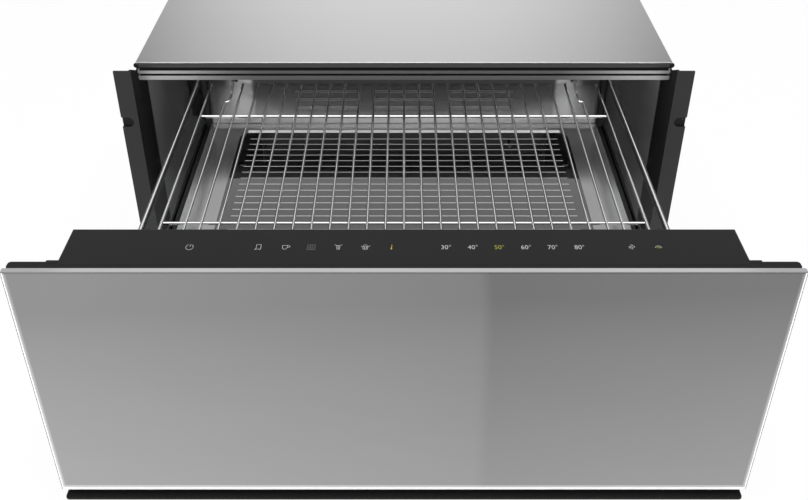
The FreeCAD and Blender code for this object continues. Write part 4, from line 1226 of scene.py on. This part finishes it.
# Floor glass: a plate with rounded corners and an eased upper edge.
def makeFloorGlass():
    low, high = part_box("floor_glass")
    rows = easedTop(low[2], high[2], floorGlass["edge"])
    levels = insetLevels((low[0], high[0]), (low[1], high[1]), floorGlass["corner"], rows, shrink=1.0)
    seat(makePiece("heatedGlass", [plate(levels, steps=8)], flatFaces=True), "floor_glass", "floorGlass")


brightStrip = {
    "reach": 213 * mm, "gap": 0.5 * mm, "depth": 7.6 * mm, "crown": 0.25 * mm, "end": 1.0 * mm,
    "across": (0.0, 0.12, 0.5, 0.88, 1.0), "lift": (0.0, 0.8, 1.0, 0.8, 0.0),  # shares of depth and crown
}


# Bright folded strip behind the glass: a low crowned section carried from side to side with eased ends, whose
# pale tone is a painted highlight.
def makeBrightStrip():
    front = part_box("floor_glass")[1][1] + brightStrip["gap"]
    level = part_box("floor_pan")[1][2]
    across = front + np.array(brightStrip["across"]) * brightStrip["depth"]
    lift = np.array(brightStrip["lift"]) * brightStrip["crown"]
    section = np.column_stack([across, np.full(len(across), level)])
    relief = np.column_stack([np.zeros(len(lift)), lift])
    parts = [strip(brightStrip["reach"], brightStrip["end"], section, relief)]
    seat(makePiece("brightStrip", parts, angle=60.0), "floor_pan", "stripPale", replacing=False)


padLook = {"radius": 14 * mm, "proud": 0.06 * mm, "steps": 9}


# Steel corners laid over the glass: each is the corner of a square less a quarter circle.
def makeCornerPads():
    low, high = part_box("floor_glass")
    radius = padLook["radius"]
    turn = np.linspace(0.0, math.pi / 2, padLook["steps"])
    arcX = np.concatenate([[1.0], np.cos(turn)])
    arcY = np.concatenate([[1.0], np.sin(turn)])
    count = len(arcX)
    parts = []
    for signX, edgeX in ((-1, low[0]), (1, high[0])):
        for signY, edgeY in ((-1, low[1]), (1, high[1])):
            x = edgeX - signX * radius * (1.0 - arcX)
            y = edgeY - signY * radius * (1.0 - arcY)
            rings = [np.column_stack([x, y, np.full(count, level)])
                     for level in (high[2] - floorGlass["edge"], high[2] + padLook["proud"])]
            parts.append((np.concatenate(rings), closedFaces(2, count)))
    seat(makePiece("glassCorners", parts, angle=30.0), "floor_pan", "floorSteel", replacing=False)


makeFloorGlass()
makeBrightStrip()
makeCornerPads()
print("heated floor ready")


rackLook = {
    "wire": 1.5 * mm, "crown": math.radians(13.0), "pitch": 19.75 * mm, "count": 23, "outer": 260 * mm,
    "level": 4.3 * mm,  # of the wires' middle above the rack's lowest point
    "wallGap": 3.5 * mm,  # from the wires' ends to the wall, from which the distances below are measured
    "jog": 234 * mm, "jogIn": 5 * mm, "jogWay": 3 * mm, "jogBack": 59 * mm, "bend": 0.9 * mm,
    "riseBack": 35.5 * mm, "rise": 8 * mm,
    "cross": 1.78 * mm, "crossBacks": (93.8 * mm, 340.5 * mm), "crossTop": 0.45 * mm,
    "weld": 1.8 * mm, "weldHeight": 0.7 * mm,
}


# Rounds the corners of a run of points: each corner becomes an arc as a blend of its two neighbours.
def easedPath(points, bend, steps=5):
    points = [np.array(point, dtype=float) for point in points]
    path = [points[0]]
    share = np.linspace(0.0, 1.0, steps)[:, None]
    for before, corner, after in zip(points, points[1:], points[2:]):
        start = corner + (before - corner) / np.linalg.norm(before - corner) * bend
        end = corner + (after - corner) / np.linalg.norm(after - corner) * bend
        path.extend((1 - share) ** 2 * start + 2 * share * (1 - share) * corner + share**2 * end)
    path.append(points[-1])
    return np.array(path)


# A weld: a small flattened bead, as circles of latitude from pole to pole.
def weldBead(x, y, z, radius, height, sides=8, rings=5):
    rise = np.linspace(-math.pi / 2, math.pi / 2, rings)[:, None]
    turn = np.linspace(0.0, 2 * math.pi, sides, endpoint=False)
    across = radius * np.cos(rise)
    up = z + height * np.sin(rise) + 0.0 * turn
    points = np.stack([x + across * np.cos(turn), y + across * np.sin(turn), up], axis=-1)
    return points.reshape(-1, 3), [gridFaces(rings, sides, True)]


# Rack: straight wires at a pitch, two outer ones and two that step in and rise, on welded cross wires.
def makeRack():
    low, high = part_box("rack")
    radius = rackLook["wire"]
    crown = rackLook["crown"]
    front = low[1] + radius
    rear = high[1] - radius
    level = low[2] + rackLook["level"]
    wall = high[1] + rackLook["wallGap"]
    half = (rackLook["count"] - 1) // 2
    wires = [index * rackLook["pitch"] for index in range(-half, half + 1)]
    wires += [-rackLook["outer"], rackLook["outer"]]
    parts = [tube([(x, front, level), (x, rear, level)], radius, crown=crown) for x in wires]
    step = wall - rackLook["jogBack"]
    for side in (-1, 1):
        jog = side * rackLook["jog"]
        inner = side * (rackLook["jog"] - rackLook["jogIn"])
        route = easedPath([
            (jog, front, level), (jog, step, level), (inner, step + rackLook["jogWay"], level),
            (inner, wall - rackLook["riseBack"], level), (inner, rear, level + rackLook["rise"]),
        ], rackLook["bend"])
        parts.append(tube(route, radius, crown=crown))
        wires.append(jog)
    crossLevel = low[2] + rackLook["cross"]
    reach = high[0] - rackLook["cross"]
    crosses = [wall - back for back in rackLook["crossBacks"]]
    for y in crosses:
        parts.append(tube([(-reach, y, crossLevel), (reach, y, crossLevel)], rackLook["cross"], sides=16))
        for x in wires:
            parts.append(weldBead(x, y, level - radius, rackLook["weld"], rackLook["weldHeight"]))
    piece = makePiece("wireRack", parts, angle=50.0, flatFaces=True)
    seat(piece, "rack", "rackChrome", "crossChrome")

    def cross(middle, _):
        away = min(abs(middle.y - y) for y in crosses)
        return int(away < rackLook["cross"] and middle.z < level - rackLook["crossTop"])

    paint(piece, cross)


makeRack()
easedCopy("rack_rests", "rackRests", "plainSteel", width=0.4 * mm)
print("rack ready")


wallFoot = {
    "steps": 7, "height": 7.4 * mm, "lift": 0.8 * mm, "depth": 0.8 * mm, "inset": 0.6 * mm,
    "behind": 1.02 * mm,  # from the wall's rearmost point to the strip's root
}


# Folded foot of the rear wall: a slim strip whose upper edge rolls back into the wall.
def makeWallFoot():
    low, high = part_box("rear_wall")
    bottom = low[2] + wallFoot["lift"]
    top = bottom + wallFoot["height"]
    turn = np.linspace(0.0, math.pi / 2, wallFoot["steps"])
    rise = np.concatenate([[bottom], top - wallFoot["depth"] * (1.0 - np.sin(turn)), [top]])
    proud = np.concatenate([[1.0], np.cos(turn), [0.0]]) * wallFoot["depth"]
    section = np.column_stack([np.full(len(rise), high[1] - wallFoot["behind"]), rise])
    relief = np.column_stack([-proud, np.zeros(len(proud))])
    parts = [strip(high[0] - wallFoot["inset"], wallFoot["inset"], section, relief)]
    seat(makePiece("wallFoot", parts, angle=50.0), "rear_wall", "footSteel", replacing=False)


rail = {"drop": 1.4 * mm, "corner": 1.2 * mm, "ease": 0.4 * mm, "bead": 1.7 * mm, "crown": math.radians(30.0)}


# Rail on a side glass: a near-black body with rounded shoulders, a painted shade, and a slim bright bead
# along its top.
def makeRail(side):
    node = side + "_top_rail"
    low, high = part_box(node)
    ease = rail["ease"]
    rows = ((ease, low[1]), (0.0, low[1] + ease), (0.0, high[1] - ease), (ease, high[1]))
    levels = insetLevels((low[0], high[0]), (low[2], high[2] - rail["drop"]), rail["corner"], rows)
    seat(makePiece(side + "Rail", [plate(levels, (0, 2, 1))], flatFaces=True), node, "railShade")
    radius = rail["bead"]
    middle = (low[0] + high[0]) / 2
    path = [(middle, y, high[2] - radius) for y in (low[1] + radius, high[1] - radius)]
    bead = tube(path, radius, sides=16, crown=rail["crown"])
    bead = makePiece(side + "RailBead", [bead], angle=50.0, flatFaces=True)
    seat(bead, node, "railChrome", replacing=False)


easedCopy("rear_wall", "louvredWall", "wallSteel", width=0.25 * mm)
makeWallFoot()
for side in ("left", "right"):
    easedCopy(side + "_side_channel", side + "Channel", "channelBlack", width=0.5 * mm)
    glass = easedCopy(side + "_side_glass", side + "Glass", "sideGlass", width=0.3 * mm)
    glass.visible_shadow = False
    makeRail(side)
print("basin ready")


seal = {"radius": 3.25 * mm, "curlRun": 7 * mm, "curlRise": 0.9 * mm, "steps": 6}


# Soft seal above the trim: a tube that lifts in a short bow at both ends.
def makeSeal():
    low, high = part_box("top_seal")
    radius = seal["radius"]
    reach = high[0] - radius
    straight = reach - seal["curlRun"]
    curl = np.linspace(straight, reach, seal["steps"])
    x = np.concatenate([-curl[::-1], curl])
    over = np.clip((np.abs(x) - straight) / seal["curlRun"], 0.0, 1.0)
    y = np.full(len(x), (low[1] + high[1]) / 2)
    path = np.column_stack([x, y, (low[2] + high[2]) / 2 + seal["curlRise"] * over**2])
    piece = makePiece("softSeal", [tube(path, radius, sides=20, capRings=6)], angle=50.0)
    seat(piece, "top_seal", "sealRubber")


cover = {
    "radius": 1.2 * mm, "corner": 2.6 * mm, "skirt": 5.75 * mm, "sheet": 1.0 * mm, "rearGap": 1.2 * mm,
    "step": 0.05 * mm,  # from the rolled edge down to the skirt
    "lipCorner": 0.3 * mm, "lipLap": 0.5 * mm,
    "hem": (0.12, 0.98, -0.1),  # the rolled front edge: how far up its faces look, and how far to the front
}


# Top cover: a sheet with rolled upper edges whose skirt runs round it, and a deeper lip at each side.
def makeCover():
    low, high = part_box("top_cover")
    sheet = cover["sheet"]
    foot = high[2] - cover["skirt"]
    corner = cover["corner"]
    levels = roundedEnd(low, high, low[2], high[2], corner, cover["radius"], steps=6)[:0:-1]
    skirtTop = high[2] - cover["radius"] - cover["step"]
    rows = ((0.0, skirtTop), (0.0, foot), (sheet, foot), (sheet, skirtTop - cover["step"]))
    levels += insetLevels((low[0], high[0]), (low[1], high[1] - cover["rearGap"]), corner, rows, shrink=1.0)
    lips = [
        block(sorted((outer, outer - math.copysign(sheet, outer))), (low[1], high[1]), cover["lipCorner"],
              (low[2], foot + cover["lipLap"]))
        for outer in (low[0], high[0])
    ]
    piece = makePiece("coverSheet", [plate(levels, steps=6), *lips], flatFaces=True)
    seat(piece, "top_cover", "coverSteel", "hemSteel")
    least, most, forward = cover["hem"]
    paint(piece, lambda _, normal: int(least < normal.z < most and normal.y < forward))


trim = {
    "corner": 1.6 * mm, "edge": 0.35 * mm, "lowerBar": 6.2 * mm, "upperBar": 4.6 * mm, "bar": 6 * mm,
    "web": 2 * mm, "webCorner": 0.3 * mm, "shelf": 1.5 * mm, "shelfDrop": 2.25 * mm, "shelfCorner": 0.2 * mm,
    "upper": 0.7,  # faces that look up more than this are black
}


# Trim: two bars with rounded faces on a web, and the shelf that carries the seal. Only the bars' front faces
# are bare metal: groove, shelf and upward-looking sides are black, a painted shade.
def makeTrim():
    low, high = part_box("top_trim")
    across = (low[0], high[0])
    barRear = low[1] + trim["bar"]
    webRear = barRear + trim["web"]
    shelf = (high[2] - trim["shelfDrop"] - trim["shelf"], high[2] - trim["shelfDrop"])
    parts = []
    for bottom, top in ((low[2], low[2] + trim["lowerBar"]), (high[2] - trim["upperBar"], high[2])):
        levels = roundedEnd(
            (low[0], bottom), (high[0], top), barRear, low[1], trim["corner"], trim["edge"], steps=4
        )
        parts.append(plate(levels, (0, 2, 1)))
    parts.append(block(across, (low[2], high[2]), trim["webCorner"], (barRear, webRear), (0, 2, 1)))
    parts.append(block(across, shelf, trim["shelfCorner"], (webRear, high[1]), (0, 2, 1)))
    piece = makePiece("trimBars", parts, flatFaces=True)
    seat(piece, "top_trim", "trimSteel", "grooveBlack")
    end = high[0] - trim["corner"]
    paint(piece, lambda middle, normal: int(
        abs(middle.x) < end and (normal.z > trim["upper"] or middle.y > barRear)
    ))


notch = {
    "levels": (237 * mm, 60 * mm), "front": 3.4 * mm, "sheet": 1.2 * mm,
    "inner": 356.5 * mm, "outer": 374.2 * mm, "half": 8.6 * mm, "corner": 2 * mm,
    "arcX": 368.6 * mm, "arcRise": 1.2 * mm, "arcRadius": 2.6 * mm, "arcWire": 0.6 * mm,
    "arcTurn": (15.0, 150.0, 9),  # from, to, steps
}


# Dark plate behind a screw notch with a short bright bow on it: the rim of the hole for the niche's screw.
def makeNotchPlates(side):
    sign = -1.0 if side == "left" else 1.0
    node = side + "_mounting_bracket"
    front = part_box(node)[0][1] + notch["front"]
    depths = (front, front + notch["sheet"])
    across = sorted((sign * notch["inner"], sign * notch["outer"]))
    radius = notch["arcRadius"]
    plates = []
    bows = []
    for z in notch["levels"]:
        span = (z - notch["half"], z + notch["half"])
        plates.append(block(across, span, notch["corner"], depths, (0, 2, 1), steps=4))
        bow = arc(sign * notch["arcX"], z + notch["arcRise"], radius, radius, *notch["arcTurn"])
        bows.append(tube(np.insert(bow, 1, front, axis=1), notch["arcWire"], sides=8, capRings=3))
    seat(makePiece(side + "NotchPlates", plates, flatFaces=True), node, "channelBlack", replacing=False)
    seat(makePiece(side + "NotchRims", bows, angle=50.0), node, "bracketBlack", replacing=False)


# Spring behind the latch's plunger: a plain copy of the node's mesh, set in world place, in place of the
# hidden node.
def makeLatchSpring():
    piece = bpy.data.objects.new("latchSpring", nodes["latch_spring"].data.copy())
    scene.collection.objects.link(piece)
    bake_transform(piece)
    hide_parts("latch_spring")


makeSeal()
makeCover()
makeTrim()
easedCopy("ceiling_insulation", "ceilingWool", "wool", width=0.8 * mm)
for side in ("left", "right"):
    easedCopy(side + "_mounting_bracket", side + "Bracket", "bracketBlack", width=0.5 * mm)
    makeNotchPlates(side)
makeLatchSpring()
print("cabinet ready")

scene.view_settings.view_transform = "Standard"
